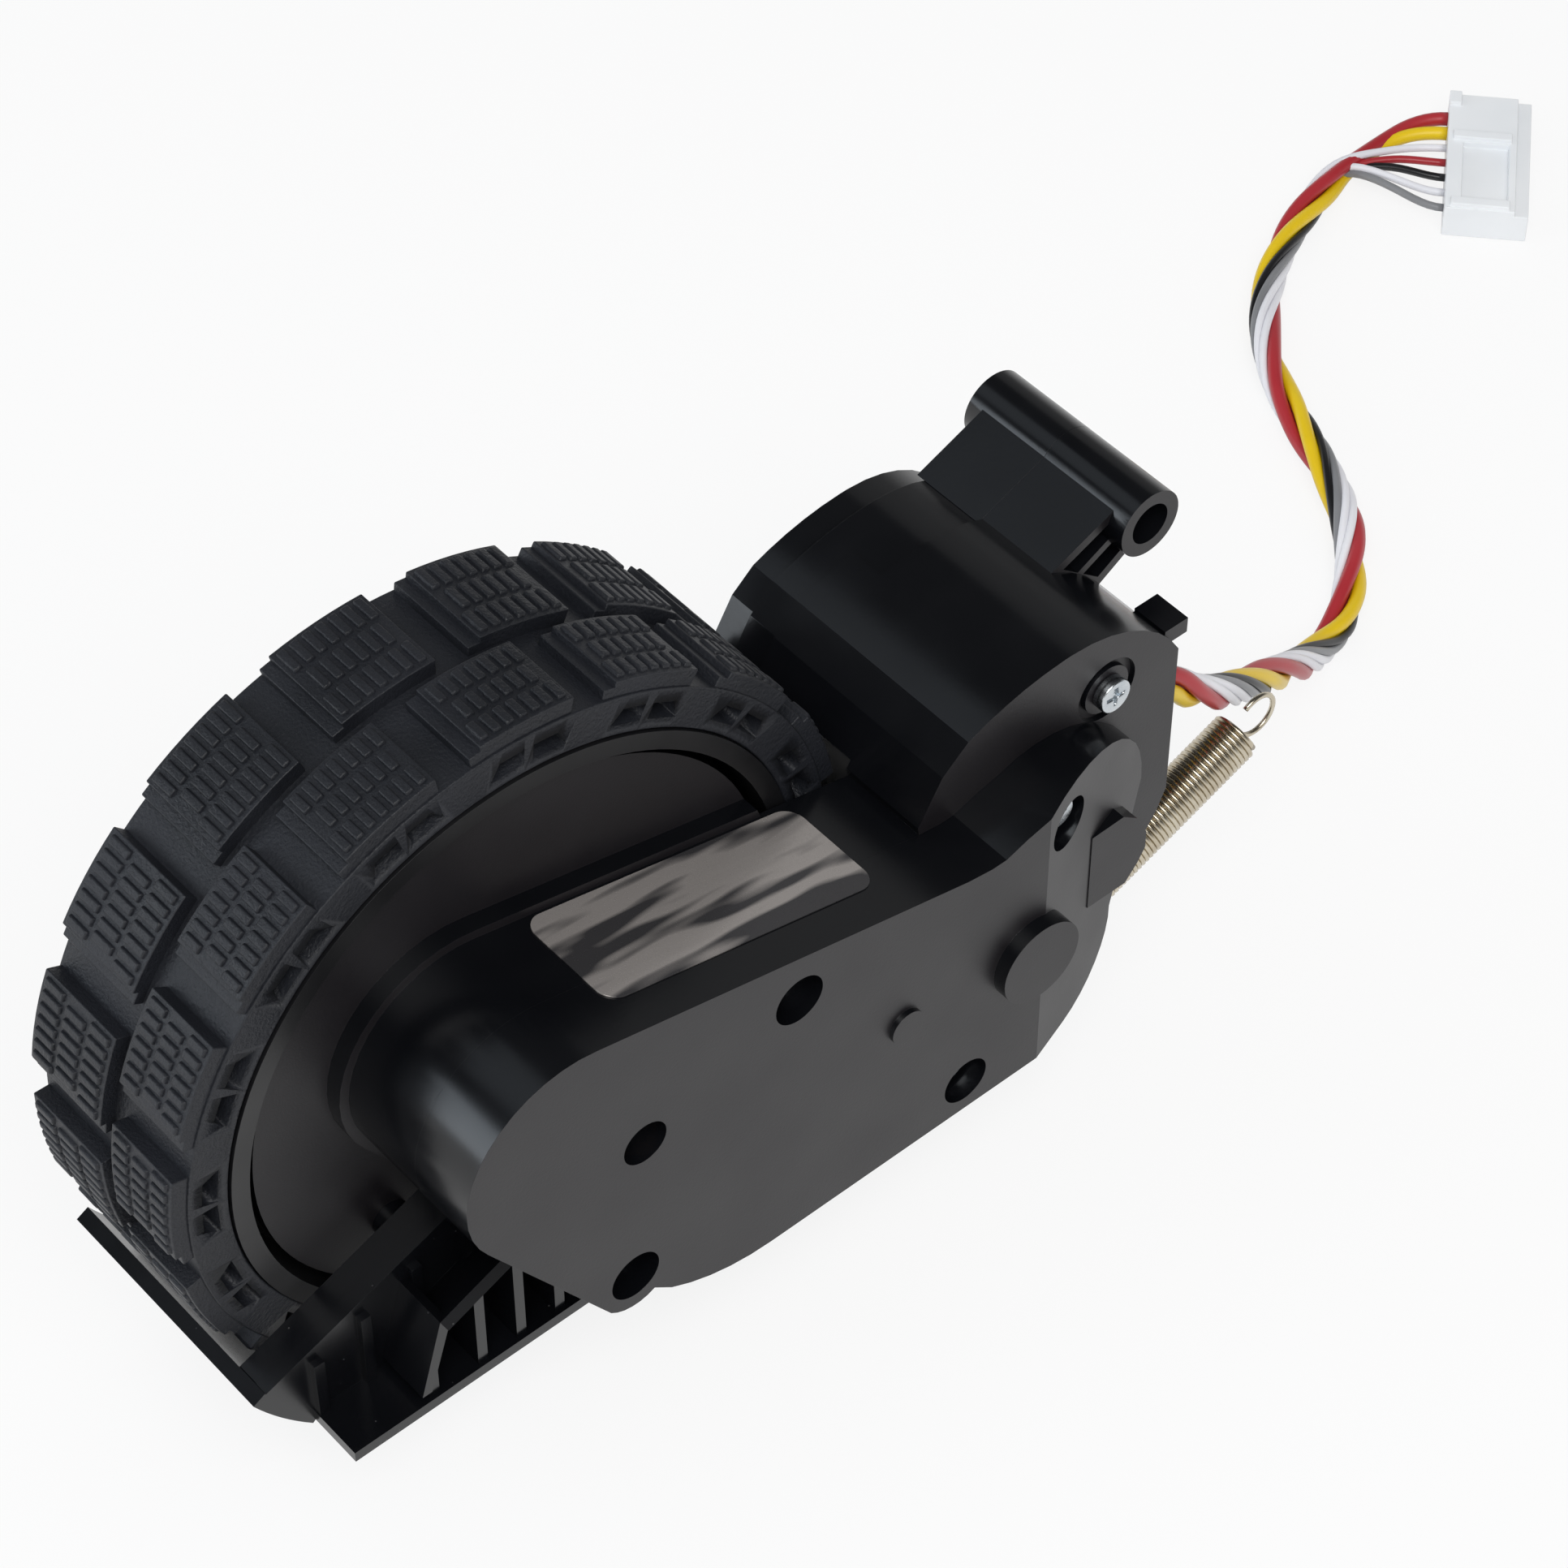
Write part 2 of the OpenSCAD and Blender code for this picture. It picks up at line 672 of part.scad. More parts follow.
module arch_band(y0, y1) {
    intersection() {
        tube(axle_at, arch_r + arch_wall, arch_r, y0, y1);
        plate(y0, y1) shell_2d(0.01);
    }
}

// The web that carries the sleeve on the barrel, as an [x, z] outline.
web_line = [pivot_at + polar(pivot_r * 0.96, 140), crown_at + polar(crown_r - 0.4, 66),
            crown_at + polar(crown_r - 0.4, 33), pivot_at + polar(pivot_r * 0.96, -50)];

web_near = pivot_near + 1.8;
web_far = pivot_far - 1.6;
module pivot_part(y0, y1) {
    rod(pivot_at, pivot_r, y0, y1);
    plate(max(y0, web_near), min(y1, web_far)) polygon(web_line);
}

// The web is hollow at its near end, with one rib along its middle.
module web_pocket() {
    mid = [(web_line[0] + web_line[3]) / 2, (web_line[1] + web_line[2]) / 2];
    across = left(unit(mid[1] - mid[0])) * 0.4;
    plate(pivot_near - 1, web_near + 4.5) difference() {
        polygon(inset(web_line, 1));
        translate(pivot_at) circle(r = pivot_r);
        polygon([mid[0] + across, mid[1] + across, mid[1] - across, mid[0] - across]);
    }
}

spring_post_far = spring_y + 2.2;
module spring_anchor() {
    rod(anchor_at, post_pin_r, part_y + 0.3, spring_post_far);
    rod(anchor_at, post_pin_r + 0.3, spring_y + 1, spring_post_far);
    plate(part_y, part_y + 0.6) polygon([anchor_at + [-6, -1.6], anchor_at + [1.2, -1.6],
        anchor_at + [1.6, 0.6], anchor_at + [0.6, 4.4], anchor_at + [-7, 4.4]]);
}

board_peg = 2;
module inner_housing() {
    color("#232427") place() difference() {
        union() {
            plate(part_y, back_y) tub_2d();
            plate(back_y - 0.1, disc_y + 0.2) intersection() {
                tub_2d();
                circle(r = disc_r);
            }
            plate(part_y, part_y + 0.6) polygon(inset(gearbox_line, 0.02));
            plate(disc_y - 1.7, disc_y + 0.2) intersection() {
                polygon(inset(gearbox_line, -0.9));
                circle(r = disc_r);
            }
            rod(axle_at, disc_r, disc_y, disc_far);
            rod(axle_at, boss_r, disc_y, bush_far);
            rod(third_at, 2.4, disc_y, disc_far + 0.2);
            rod(cover_holes[3], post_r, part_y - motor_end_rise, part_y + 0.1);
            difference() {
                union() {
                    plate(part_y, seam_y) shell_2d(0);
                    plate(seam_y - 0.1, seam_y + seam_step) step_2d(0);
                }
                plate(bulk_y, seam_y + 9) shell_2d(wall);
                arch_cut(-0.4, seam_y + 9);
            }
            difference() {
                arch_band(-0.4, seam_y + seam_step);
                translate([step_x, seam_y, -60]) cube([60, 9, 120]);
            }
            plate(-0.4 - wall, -0.4) intersection() {
                shell_2d(0);
                circle(r = arch_r + 0.6);
            }
            rod(motor_at, drum_r, bulk_y - 0.1, seam_y);
            rod(barrel_holes[0], post_r, bulk_y - 0.1, seam_y);
            rod(barrel_holes[1], post_r, bulk_y - 0.1, seam_y);
            pivot_part(pivot_near, seam_y);
            spring_anchor();
            translate([side_x - 1.4, part_y + 0.4, motor_at[1] + 13.7]) cube([2.7, 3.8, 1.7]);
            translate([side_x - 0.5, outlet[1], outlet[2]]) rotate([0, 90, 0])
                cylinder(r = lead_r + 1.1, h = wall + 0.5);
        }
        difference() {
            union() {
                plate(part_y - 1, back_y - wall) chamber_2d();
                plate(back_y - wall - 0.1, disc_y) intersection() {
                    chamber_2d();
                    circle(r = disc_r - wall);
                }
            }
            for (i = [0:2]) rod(cover_holes[i], post_r, part_y - 2, disc_y + 1);
            rod(third_at, 2.2, disc_y - 0.5, disc_y + 1);
            rod(second_at, 2.2, back_y - wall - 1.5, back_y);
        }
        tube(axle_at, bush_r + seat_gap, 0, bush_far - bush_l, bush_far + 1);
        rod(axle_at, axle_r + 0.3, disc_y - 1, bush_far + 1);
        rod(third_at, gear_pin_d / 2 + seat_gap, disc_y - 2, disc_y + 0.8);
        rod(second_at, gear_pin_d / 2 + seat_gap, back_y - wall - 2, back_y - 0.4);
        rod(first_at, first_pin_r + seat_gap, part_y - 1, bulk_y - 0.3);
        for (i = [0:3]) rod(cover_holes[i], screw_r + seat_gap, part_y - motor_end_rise - 1,
                            cover_y + cover_sink[i] + cover_screw_l[i]);
        rod(motor_at, drum_in, bulk_y, seam_y + seam_step + 1);
        rod(motor_at, motor_boss_r + seat_gap, part_y - 1, bulk_y + 1);
        for (at = motor_screw_at) {
            rod(at, screw_r + 0.1, part_y - 1, bulk_y + 1);
            rod(at, 2, part_y - 1, part_y + 0.8);
        }
        rod(barrel_holes[0], screw_r + 0.15, part_y - 1, seam_y + 1);
        tube(barrel_holes[0], 3.3, 2.5, part_y - 1, part_y + 0.6);
        rod(barrel_holes[1], screw_r + seat_gap, part_y + 5, seam_y + 1);
        rod(pivot_at, pivot_bore / 2, pivot_near - 1, seam_y + 1);
        web_pocket();
        for (at = skirt_pegs) rod(at, peg_tip_r + seat_gap, disc_y - 1, disc_far + 1);
        translate([side_x - wall - 0.8, outlet[1], outlet[2]]) rotate([0, 90, 0])
            cylinder(r = lead_r + 0.25, h = 6);
    }
}

// The cover's flat face turns back over the motor along this line in [x, y].
slope_x = motor_at[0] - 6.5;
slope = tan(slope_deg);
module beyond_slope(lift) {
    reach = 30;
    translate([0, 0, -60]) linear_extrude(120) polygon([[slope_x, cover_y + lift],
        [slope_x + reach, cover_y + lift + reach * slope], [slope_x + reach, cover_y - 9],
        [slope_x, cover_y - 9]]);
}

module cover_inside() {
    difference() {
        plate(cover_y + wall, part_y + 1) polygon(inset(gearbox_line, wall));
        beyond_slope(wall);
    }
}

hood_y = cover_y + 2.4;
hood_line = [motor_at + [1.1, 1.6], motor_at + [4.8, 1.7], motor_at + [6.5, 0.3],
             motor_at + [7.8, -2.3], motor_at + [7.8, -4.4], motor_at + [7, -5.8],
             motor_at + [5.6, -7.5], motor_at + [1.1, -7.5]];
boss_at = first_at + [1.1, -0.3];
big_boss_r = 4.3;
module gearbox_cover() {
    color("#4a4849") place() difference() {
        union() {
            difference() {
                union() {
                    difference() {
                        plate(cover_y, part_y) polygon(gearbox_line);
                        beyond_slope(0);
                    }
                    plate(hood_y, hood_y + 2.6) polygon(hood_line);
                }
                cover_inside();
            }
            rod(axle_at, boss_r, cover_y + 0.5, bush_near + bush_l);
            for (at = [third_at, second_at]) rod(at, 2, cover_y + 1, second_y[0] - part_gap);
            rod(first_at, 1.6, cover_y + 1, first_pinion_y[0] - part_gap);
            rod(third_at, 2, cover_y + 1, third_y[0] - 2.4 - part_gap);
            for (i = [0:3]) intersection() {
                rod(cover_holes[i], cover_recess[i] + recess_wall, cover_y + 0.2,
                    i < 3 ? part_y : part_y - motor_end_rise);
                plate(cover_y, part_y) polygon(gearbox_line);
                difference() {
                    plate(cover_y, part_y) square(200, center = true);
                    beyond_slope(0.05);
                }
            }
            rod(boss_at, big_boss_r, cover_y - boss_proud, cover_y + 0.5);
            rod(second_at, 1.75, cover_y - 0.5, cover_y + 0.5);
        }
        rod(axle_at, axle_r + 0.2, cover_y - 1, part_y);
        rod(axle_at, bush_r + seat_gap, bush_near, part_y);
        for (at = [third_at, second_at]) rod(at, gear_pin_d / 2 + seat_gap, pin_near, part_y);
        rod(first_at, first_pin_r + seat_gap, pin_near, part_y);
        for (i = [0:3]) {
            rod(cover_holes[i], screw_r + 0.1, cover_y - 1, part_y + 1);
            rod(cover_holes[i], cover_recess[i], cover_y - 3, cover_y + cover_sink[i]);
        }
    }
}

module end_shell(d, y0, y1) {
    plate(y0, y1) shell_2d(d);
}

module motor_end_cover() {
    y0 = seam_y + seat_gap;
    lip = 0.4;
    crown = barrel_far - 3.5;
    color("#2a2b2e") place() difference() {
        union() {
            difference() {
                union() {
                    end_shell(lip, y0, crown);
                    end_shell(lip + 1.2, crown - 0.1, barrel_far);
                }
                difference() {
                    plate(y0 - 1, barrel_far - wall) shell_2d(lip + wall);
                    rod(axle_at, arch_r + arch_wall, 0, barrel_far);
                }
                arch_cut(0, barrel_far + 1);
            }
            pivot_part(y0, pivot_far);
            rod(barrel_holes[0], post_r, y0, barrel_far - wall + 0.1);
            rod(barrel_holes[1], post_r, y0, barrel_far - wall + 0.1);
            for (at = board_pegs) rod(at, board_peg, board_y + board_t, barrel_far - wall + 0.1);
        }
        translate([-20, 0, -60]) cube([20 + step_x, seam_y + seam_step + seat_gap, 120]);
        rod(pivot_at, pivot_bore / 2, seam_y, pivot_far + 1);
        rod(barrel_holes[0], screw_r + seat_gap, seam_y - 1, barrel_far - wall);
        rod(barrel_holes[1], screw_r + 0.15, seam_y - 1, barrel_far + 1);
        rod(barrel_holes[1], head_r + 0.3, barrel_far - 2, barrel_far + 1);
    }
}

// Clip-on frame below the wheel's front: mudguard strip, plate with ribs, and foot.
guard_in = tyre_r + 0.9;
guard_t = 1.4;
guard_a = [209, 223];
skirt_back = [-5, -3.6];
skirt_near = -10.5;
skirt_pegs = [[-14, -14.5], [-5, -22.2]];
peg_tip_r = 1.2;
skirt_bottom = belly_z - 0.6;
skirt_right = 6;
skirt_left = 0.5 - sqrt(pow(guard_in + guard_t, 2) - pow(skirt_bottom, 2));
rib_t = 1;
front_ribs = [[-18.4, -19.3], [-13.3, -12.5], [-9.2, -11], [-5.1, -12]];
back_ribs = [[-26.4, skirt_bottom], [-21.5, skirt_bottom], [-16.1, -20], [-10.8, -18]];
function bar_z(x) = -11.3 + 0.4 * (x + 11.6);

// The shelf rises to its front edge, from shelf_b to shelf_a, and then turns down to shelf_c.
shelf_a = [-10.8, -11.5];
shelf_b = [-17.5, -14.4];
shelf_c = [-19.9, skirt_bottom + 2.4];
shelf_tilt = 39.8;
shelf_deep = 7.6;
module shelf_place() {
    rise = shelf_a - shelf_b;
    translate([shelf_b[0], skirt_near, shelf_b[1]]) rotate([0, -atan2(rise[1], rise[0]), 0])
        rotate([-shelf_tilt, 0, 0]) children();
}
wall_gap = 0.2;
module skirt_plate_2d() {
    difference() {
        polygon(concat([[skirt_left, skirt_bottom], [skirt_right, skirt_bottom],
                        [skirt_right, skirt_bottom + 1.6]],
                       [[-3, -14], [-12, -10.1]],
                       [polar(guard_in + guard_t, guard_a[0]), polar(guard_in + guard_t, 216)]));
        polygon(inset(gearbox_line, -wall_gap));
    }
}

module skirt_frame() {
    top = [[-12, -10.1], polar(guard_in + 0.2, 209.7), polar(guard_in + guard_t - 0.1, 210.9), [-11.6, -11.3]];
    color("#202124") place() {
        difference() {
            union() {
                intersection() {
                    tube(axle_at, guard_in + guard_t, guard_in, skirt_back[0], guard_far);
                    plate(skirt_back[0], guard_far) polygon([[0, 0], polar(60, guard_a[0]),
                                                            polar(60, guard_a[1])]);
                }
                plate(skirt_back[0], skirt_back[1]) skirt_plate_2d();
                plate(skirt_back[0], -1.2) difference() {
                    polygon(top);
                    polygon(inset(gearbox_line, -wall_gap));
                }
                translate([skirt_left, skirt_near, skirt_bottom])
                    cube([skirt_right - skirt_left, skirt_back[1] - skirt_near, 1.2]);
                difference() {
                    for (r = front_ribs) translate([r[0] - rib_t / 2, skirt_near + 0.4, skirt_bottom])
                        cube([rib_t, skirt_back[1] - skirt_near - 0.6, r[1] - skirt_bottom]);
                    shelf_place() translate([-20, -5, -rib_t / 2]) cube([60, 20, 30]);
                }
                for (r = back_ribs) translate([r[0] - rib_t / 2, skirt_back[0] - 0.7, r[1]])
                    cube([rib_t, 0.9, bar_z(r[0]) - r[1]]);
                shelf_place() translate([0, 0, -rib_t]) cube([norm(shelf_a - shelf_b) + 2, shelf_deep, rib_t]);
                plate(skirt_near, skirt_back[1]) polygon([shelf_b, shelf_c, shelf_c + [rib_t, 0],
                                                          shelf_b + [rib_t, -0.6]]);
            }
            plate(skirt_near - 1, skirt_back[1] + 0.1) polygon(inset(gearbox_line, -wall_gap));
        }
        for (at = skirt_pegs) {
            rod(at, peg_tip_r + 0.6, skirt_back[1] - 0.1, disc_y - seat_gap);
            rod(at, peg_tip_r, disc_y - 0.1, disc_far + 0.3);
        }
    }
}

module cover_screws() {
    color("#c6c8cb") place() for (i = [0:3])
        screw(cover_holes[i], cover_y + cover_sink[i] - head_t, cover_screw_l[i]);
}

module barrel_screws() {
    color("#c6c8cb") place() {
        screw(barrel_holes[0], part_y - head_t, barrel_screw_l);
        screw_back(barrel_holes[1], barrel_far - 2 + head_t, barrel_screw_l);
    }
}

// Bare foil label on the sloping top wall, across the parting line.
label_t = 0.15;
label_w = 29;
label_y = [-12.3, -1.2];
label_corner = 1.8;
module label_foil() {
    top_a = nose_at + polar(nose_r, 75);
    top_b = dip_at - [2.6, -0.4];
    run = unit(top_b - top_a);
    depth = label_y[1] - label_y[0];
    color("#b4aeab") place() translate([top_a[0] + run[0] * 4.4, label_y[0], top_a[1] + run[1] * 4.4])
        rotate([0, -atan2(run[1], run[0]), 0]) linear_extrude(label_t) union() {
            translate([label_corner, 0]) square([label_w - 2 * label_corner, depth]);
            translate([0, label_corner]) square([label_w, depth - 2 * label_corner]);
            for (x = [label_corner, label_w - label_corner], y = [label_corner, depth - label_corner])
                translate([x, y]) circle(r = label_corner);
        }
}

// A loop of wire in the [x, z] plane with its gap turned to angle a.
module loop(at, r, a, open) {
    translate([at[0], spring_y, at[1]]) rotate([90, 0, 0]) rotate([0, 0, a + open / 2])
        rotate_extrude(angle = 360 - open) translate([r, 0]) circle(r = wire_r, $fn = 24);
}

module suspension_spring() {
    coil_from = anchor_at + polar(coil_start, spring_dir);
    color("#c9c2b2") place() {
        translate([coil_from[0], spring_y, coil_from[1]]) rotate([0, 90 - spring_dir, 0]) difference() {
            cylinder(r = spring_r, h = spring_l);
            translate([0, 0, spring_wire]) cylinder(r = spring_r - spring_wire, h = spring_l - 2 * spring_wire);
        }
        loop(anchor_at, loop_r - 0.1, spring_dir + 90, 30);
        loop(hook_at, hook_r, spring_dir + 110, 50);
    }
}

// Tube swept along the lead's points, eight-sided, with level end faces.
sides = 8;
function ring_dir(p, i) = unit(p[min(i + 1, len(p) - 1)] - p[max(i - 1, 0)]);
function ring(p, i, r) = let (d = ring_dir(p, i), u = unit(cross([0, 0, 1], d)), v = cross(d, u))
    [for (k = [0:sides - 1]) p[i] + r * (cos(360 * k / sides) * u + sin(360 * k / sides) * v)];
module swept(p, r) {
    n = len(p);
    points = [for (i = [0:n - 1]) each ring(p, i, r)];
    skin = [for (i = [0:n - 2], k = [0:sides - 1]) each
        let (a = i * sides + k, b = i * sides + (k + 1) % sides) [[a, b, b + sides], [a, b + sides, a + sides]]];
    ends = [[for (k = [0:sides - 1]) sides - 1 - k], [for (k = [0:sides - 1]) (n - 1) * sides + k]];
    polyhedron(points, concat([for (f = skin) [f[2], f[1], f[0]]], [for (f = ends) [for (k = [0:sides - 1]) f[sides - 1 - k]]]));
}

module wire_bundle() {
    color("#b32226") place() swept(lead_path, lead_r);
}

// Plug frame: X along the wires into the plug, Y along the row of ways.
module plug_place() {
    translate([plug_at[0], plug_at[1], floor_z]) rotate([0, 0, plug_turn]) children();
}

module plug_housing() {
    body_h = plug_h - 0.5;
    color("#e4e5e6") place() plug_place() difference() {
        union() {
            translate([0, -plug_w / 2, 0]) cube([plug_l, plug_w, body_h - 0.6]);
            translate([0, -plug_w / 2, 1]) cube([plug_l - 1.5, plug_w, body_h - 1]);
            for (y = plug_ribs) translate([0.6, y - 0.6, 1]) cube([plug_l - 2.7, 1.2, plug_h - 1]);
            translate([0, plug_w / 2 - 2, 1]) cube([1.3, 2, plug_h - 1]);
        }
        for (i = [0:ways - 1]) translate([0.9, (i - (ways - 1) / 2) * way_pitch - 0.7, 1])
            cube([plug_l, 1.4, 1.6]);
        translate([1.7, plug_ribs[0] + 0.9, body_h - 0.7])
            cube([5, plug_ribs[1] - plug_ribs[0] - 1.8, 1]);
    }
}

module plug_contacts() {
    color("#c7b27a") place() plug_place() for (i = [0:ways - 1])
        translate([1.4, (i - (ways - 1) / 2) * way_pitch - 0.5, 1]) cube([6, 1, 1.3]);
}

tyre();
wheel_rim();
axle_shaft();
axle_bushes();
hub_washer();
hub_screw();
output_gear();
third_gear();
second_gear();
first_gear();
gear_pins();
motor_pinion();
motor_shaft();
motor_armature();
commutator();
motor_can();
motor_magnets();
motor_end_cap();
motor_bushes();
motor_brushes();
motor_terminals();
motor_screws();
encoder_magnet();
encoder_board();
hall_sensors();
inner_housing();
gearbox_cover();
motor_end_cover();
skirt_frame();
cover_screws();
barrel_screws();
label_foil();
suspension_spring();
wire_bundle();
plug_housing();
plug_contacts();
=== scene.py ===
import math

import bmesh
import bpy
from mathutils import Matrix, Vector


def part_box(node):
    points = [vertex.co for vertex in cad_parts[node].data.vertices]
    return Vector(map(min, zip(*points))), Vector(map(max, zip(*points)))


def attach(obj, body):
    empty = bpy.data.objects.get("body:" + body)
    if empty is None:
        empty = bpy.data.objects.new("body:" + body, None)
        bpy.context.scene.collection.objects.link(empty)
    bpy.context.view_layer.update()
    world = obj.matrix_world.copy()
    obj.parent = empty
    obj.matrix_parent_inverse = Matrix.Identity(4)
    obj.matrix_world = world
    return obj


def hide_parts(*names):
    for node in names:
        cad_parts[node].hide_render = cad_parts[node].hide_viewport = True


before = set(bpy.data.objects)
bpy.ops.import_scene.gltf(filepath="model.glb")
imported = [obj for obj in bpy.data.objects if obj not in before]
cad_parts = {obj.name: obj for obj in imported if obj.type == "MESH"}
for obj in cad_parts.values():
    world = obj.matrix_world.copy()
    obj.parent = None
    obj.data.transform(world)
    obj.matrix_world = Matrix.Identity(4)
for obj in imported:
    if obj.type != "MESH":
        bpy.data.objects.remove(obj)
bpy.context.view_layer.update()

# Lengths are in millimetres and angles in degrees; points are measured from the wheel axis
# where it meets the tyre's near face, with X towards the pivot, Y into the tyre and Z up.
MM = 0.001
TYRE_LOW, TYRE_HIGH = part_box("tyre")
WHEEL = Vector(((TYRE_LOW.x + TYRE_HIGH.x) / 2, TYRE_LOW.y, (TYRE_LOW.z + TYRE_HIGH.z) / 2))
TYRE_R = (TYRE_HIGH.z - TYRE_LOW.z) / 2 / MM
TYRE_W = (TYRE_HIGH.y - TYRE_LOW.y) / MM


def spot(x, y, z):
    """A point in millimetres from the wheel axis, as a point of the frame in metres."""
    return WHEEL + Vector((x, y, z)) * MM


def from_box(corner):
    """A corner of a CAD node's box, in millimetres from the wheel axis."""
    return (corner - WHEEL) / MM


def polar(r, degrees):
    a = math.radians(degrees)
    return r * math.cos(a), r * math.sin(a)


# Camera and lamps.

CAMERA_AT = (-140.4, -196.35, 293.1)
CAMERA_AZIMUTH = 40.684
CAMERA_DOWN = 47.644
LENS = 106.2
WHITE = (1, 1, 1)
DAYLIGHT = (0.82, 0.91, 1.0)
# Each softbox: name, place, the point it faces, width, height, watts, tint.
SOFTBOXES = [("key_softbox", (-220, -380, 600), (10, 0, 0), 560, 420, 3.8, WHITE),
             ("back_softbox", (650, 500, 500), (20, 0, 0), 520, 300, 0.12, WHITE),
             ("window_softbox", (-750, 460, 250), (20, 0, 0), 520, 420, 2.2, DAYLIGHT),
             ("ceiling_softbox", (-230, 420, 700), (20, 0, 0), 420, 420, 0.3, DAYLIGHT)]


def aim(azimuth, down):
    a, e = math.radians(azimuth), math.radians(down)
    return Vector((math.sin(a) * math.cos(e), math.cos(a) * math.cos(e), -math.sin(e)))


def make_camera():
    data = bpy.data.cameras.new("camera")
    data.lens = LENS
    data.sensor_width = 36
    data.clip_start = 0.01
    data.clip_end = 20
    camera = bpy.data.objects.new("camera", data)
    camera.location = spot(*CAMERA_AT)
    camera.rotation_euler = aim(CAMERA_AZIMUTH, CAMERA_DOWN).to_track_quat("-Z", "Y").to_euler()
    bpy.context.scene.collection.objects.link(camera)
    bpy.context.scene.camera = camera


def make_softbox(name, at, towards, width, height, watts, tint):
    data = bpy.data.lights.new(name, "AREA")
    data.shape = "RECTANGLE"
    data.size = width * MM
    data.size_y = height * MM
    data.energy = watts
    data.color = tint
    lamp = bpy.data.objects.new(name, data)
    lamp.location = spot(*at)
    lamp.rotation_euler = (spot(*towards) - spot(*at)).to_track_quat("-Z", "Y").to_euler()
    bpy.context.scene.collection.objects.link(lamp)


# Materials.

# Patches in which colour and gloss drift, on plastic and on metal, and the cells that hold
# one speck of dust each, in millimetres across.
PATCH = 9.0
METAL_PATCH = 2.5
SPECK_CELL = 1.6
DUST = "#6f6f70"
# Nearly all of a noise lies between these, so what follows it swings from end to end.
SWING = {"From Min": 0.3, "From Max": 0.7}

# Each row: the two colours between which it drifts, roughness and its swing, size and depth of
# the grain in millimetres, and where they differ from none and from 0.5, the share of dust and
# the specular level.
MOULDED = {
    # Black ABS, moulded and polished: nearly black, with clear reflections, a faint orange
    # peel and a little pale dust.
    "polished_abs": ("#0a0b0e", "#0e0f12", 0.22, 0.04, 0.5, 0.003, 0.3, 0.42),
    # Nitrile rubber, moulded in an eroded tool: dull and blue-black, with a pebbled skin. Its
    # real grain of about 0.1 mm is drawn at 0.3 mm, so that it shows.
    "moulded_rubber": ("#191b20", "#202228", 0.5, 0.06, 0.3, 0.1, 0.0, 0.4),
    # Glass-filled polyamide, moulded: black with a satin bloom from the fibres.
    "rim_polyamide": ("#0f0f11", "#151517", 0.36, 0.05, 0.3, 0.006),
    # Acetal, moulded: off-white and waxy.
    "gear_acetal": ("#d8d4c8", "#e4e0d5", 0.38, 0.05, 0.4, 0.003),
    # Natural polyamide, moulded: a cool white with a soft sheen.
    "natural_nylon": ("#e6e9ec", "#edeff1", 0.4, 0.04, 0.5, 0.004, 0.0, 0.3),
    # Ferrite, sintered: dark grey, dry and fine-grained.
    "sintered_ferrite": ("#3a3c40", "#46484c", 0.6, 0.08, 0.15, 0.01),
    # Carbon, pressed: grey-black, with a rubbed dull face.
    "pressed_carbon": ("#2c2c2d", "#39393a", 0.5, 0.08, 0.15, 0.01),
    # Epoxy, cast round a chip: black and evenly matt.
    "epoxy_chip": ("#1a1b1d", "#212224", 0.5, 0.05, 0.2, 0.005),
    # Solder mask, printed: deep green with a lacquer's gloss.
    "solder_mask": ("#14502f", "#1b5c38", 0.3, 0.04, 0.6, 0.004),
}
# PVC insulation, extruded: smooth and half glossy, each colour with slightly paler rubs.
INSULATION = {
    "red": ("#a3242c", "#b02a33"),
    "yellow": ("#dcb800", "#e8c60c"),
    "white": ("#dcdce2", "#e8e8ec"),
    "black": ("#161618", "#1f1f21"),
    "grey": ("#77787b", "#86878a"),
}
INSULATION_SKIN = (0.36, 0.05, 0.6, 0.006)
# The same columns, up to the depth of the grain.
METALS = {
    # Steel, zinc-plated: cool and bright, with soft patches.
    "zinc_plating": ("#b9c0c6", "#d2d6d8", 0.24, 0.07, 0.12, 0.003),
    # Steel, ground: even and bright, with narrow reflections.
    "ground_steel": ("#b4b7bb", "#c6c9cc", 0.22, 0.05, 0.08, 0.002),
    # Music wire, nickel-plated: bright and warm, as it mirrors itself between the turns.
    "nickel_wire": ("#b8ad98", "#d0c8b6", 0.26, 0.05, 0.2, 0.002),
    # Bronze, sintered: brown and dull, from its pores.
    "sintered_bronze": ("#8d6b3a", "#a07c48", 0.42, 0.08, 0.12, 0.006),
    # Brass, turned: yellow and bright.
    "turned_brass": ("#c39a4a", "#d1ab5c", 0.24, 0.05, 0.08, 0.003),
    # Copper, drawn: red-brown with a rubbed shine.
    "drawn_copper": ("#b06a3c", "#c07a4a", 0.3, 0.05, 0.1, 0.003),
    # Copper wire, enamelled and wound: dark amber over fine ridges.
    "enamelled_winding": ("#7d3b20", "#93502e", 0.34, 0.06, 0.3, 0.03),
    # Brass, tin-plated: a pale warm grey.
    "tin_plating": ("#bfb89f", "#cfc9b4", 0.3, 0.05, 0.15, 0.003),
}


def linear(hex_colour):
    """An sRGB colour such as "#4b484a" as linear RGBA."""
    parts = [int(hex_colour[i:i + 2], 16) / 255 for i in (1, 3, 5)]
    return [c / 12.92 if c <= 0.04045 else ((c + 0.055) / 1.055) ** 2.4 for c in parts] + [1.0]


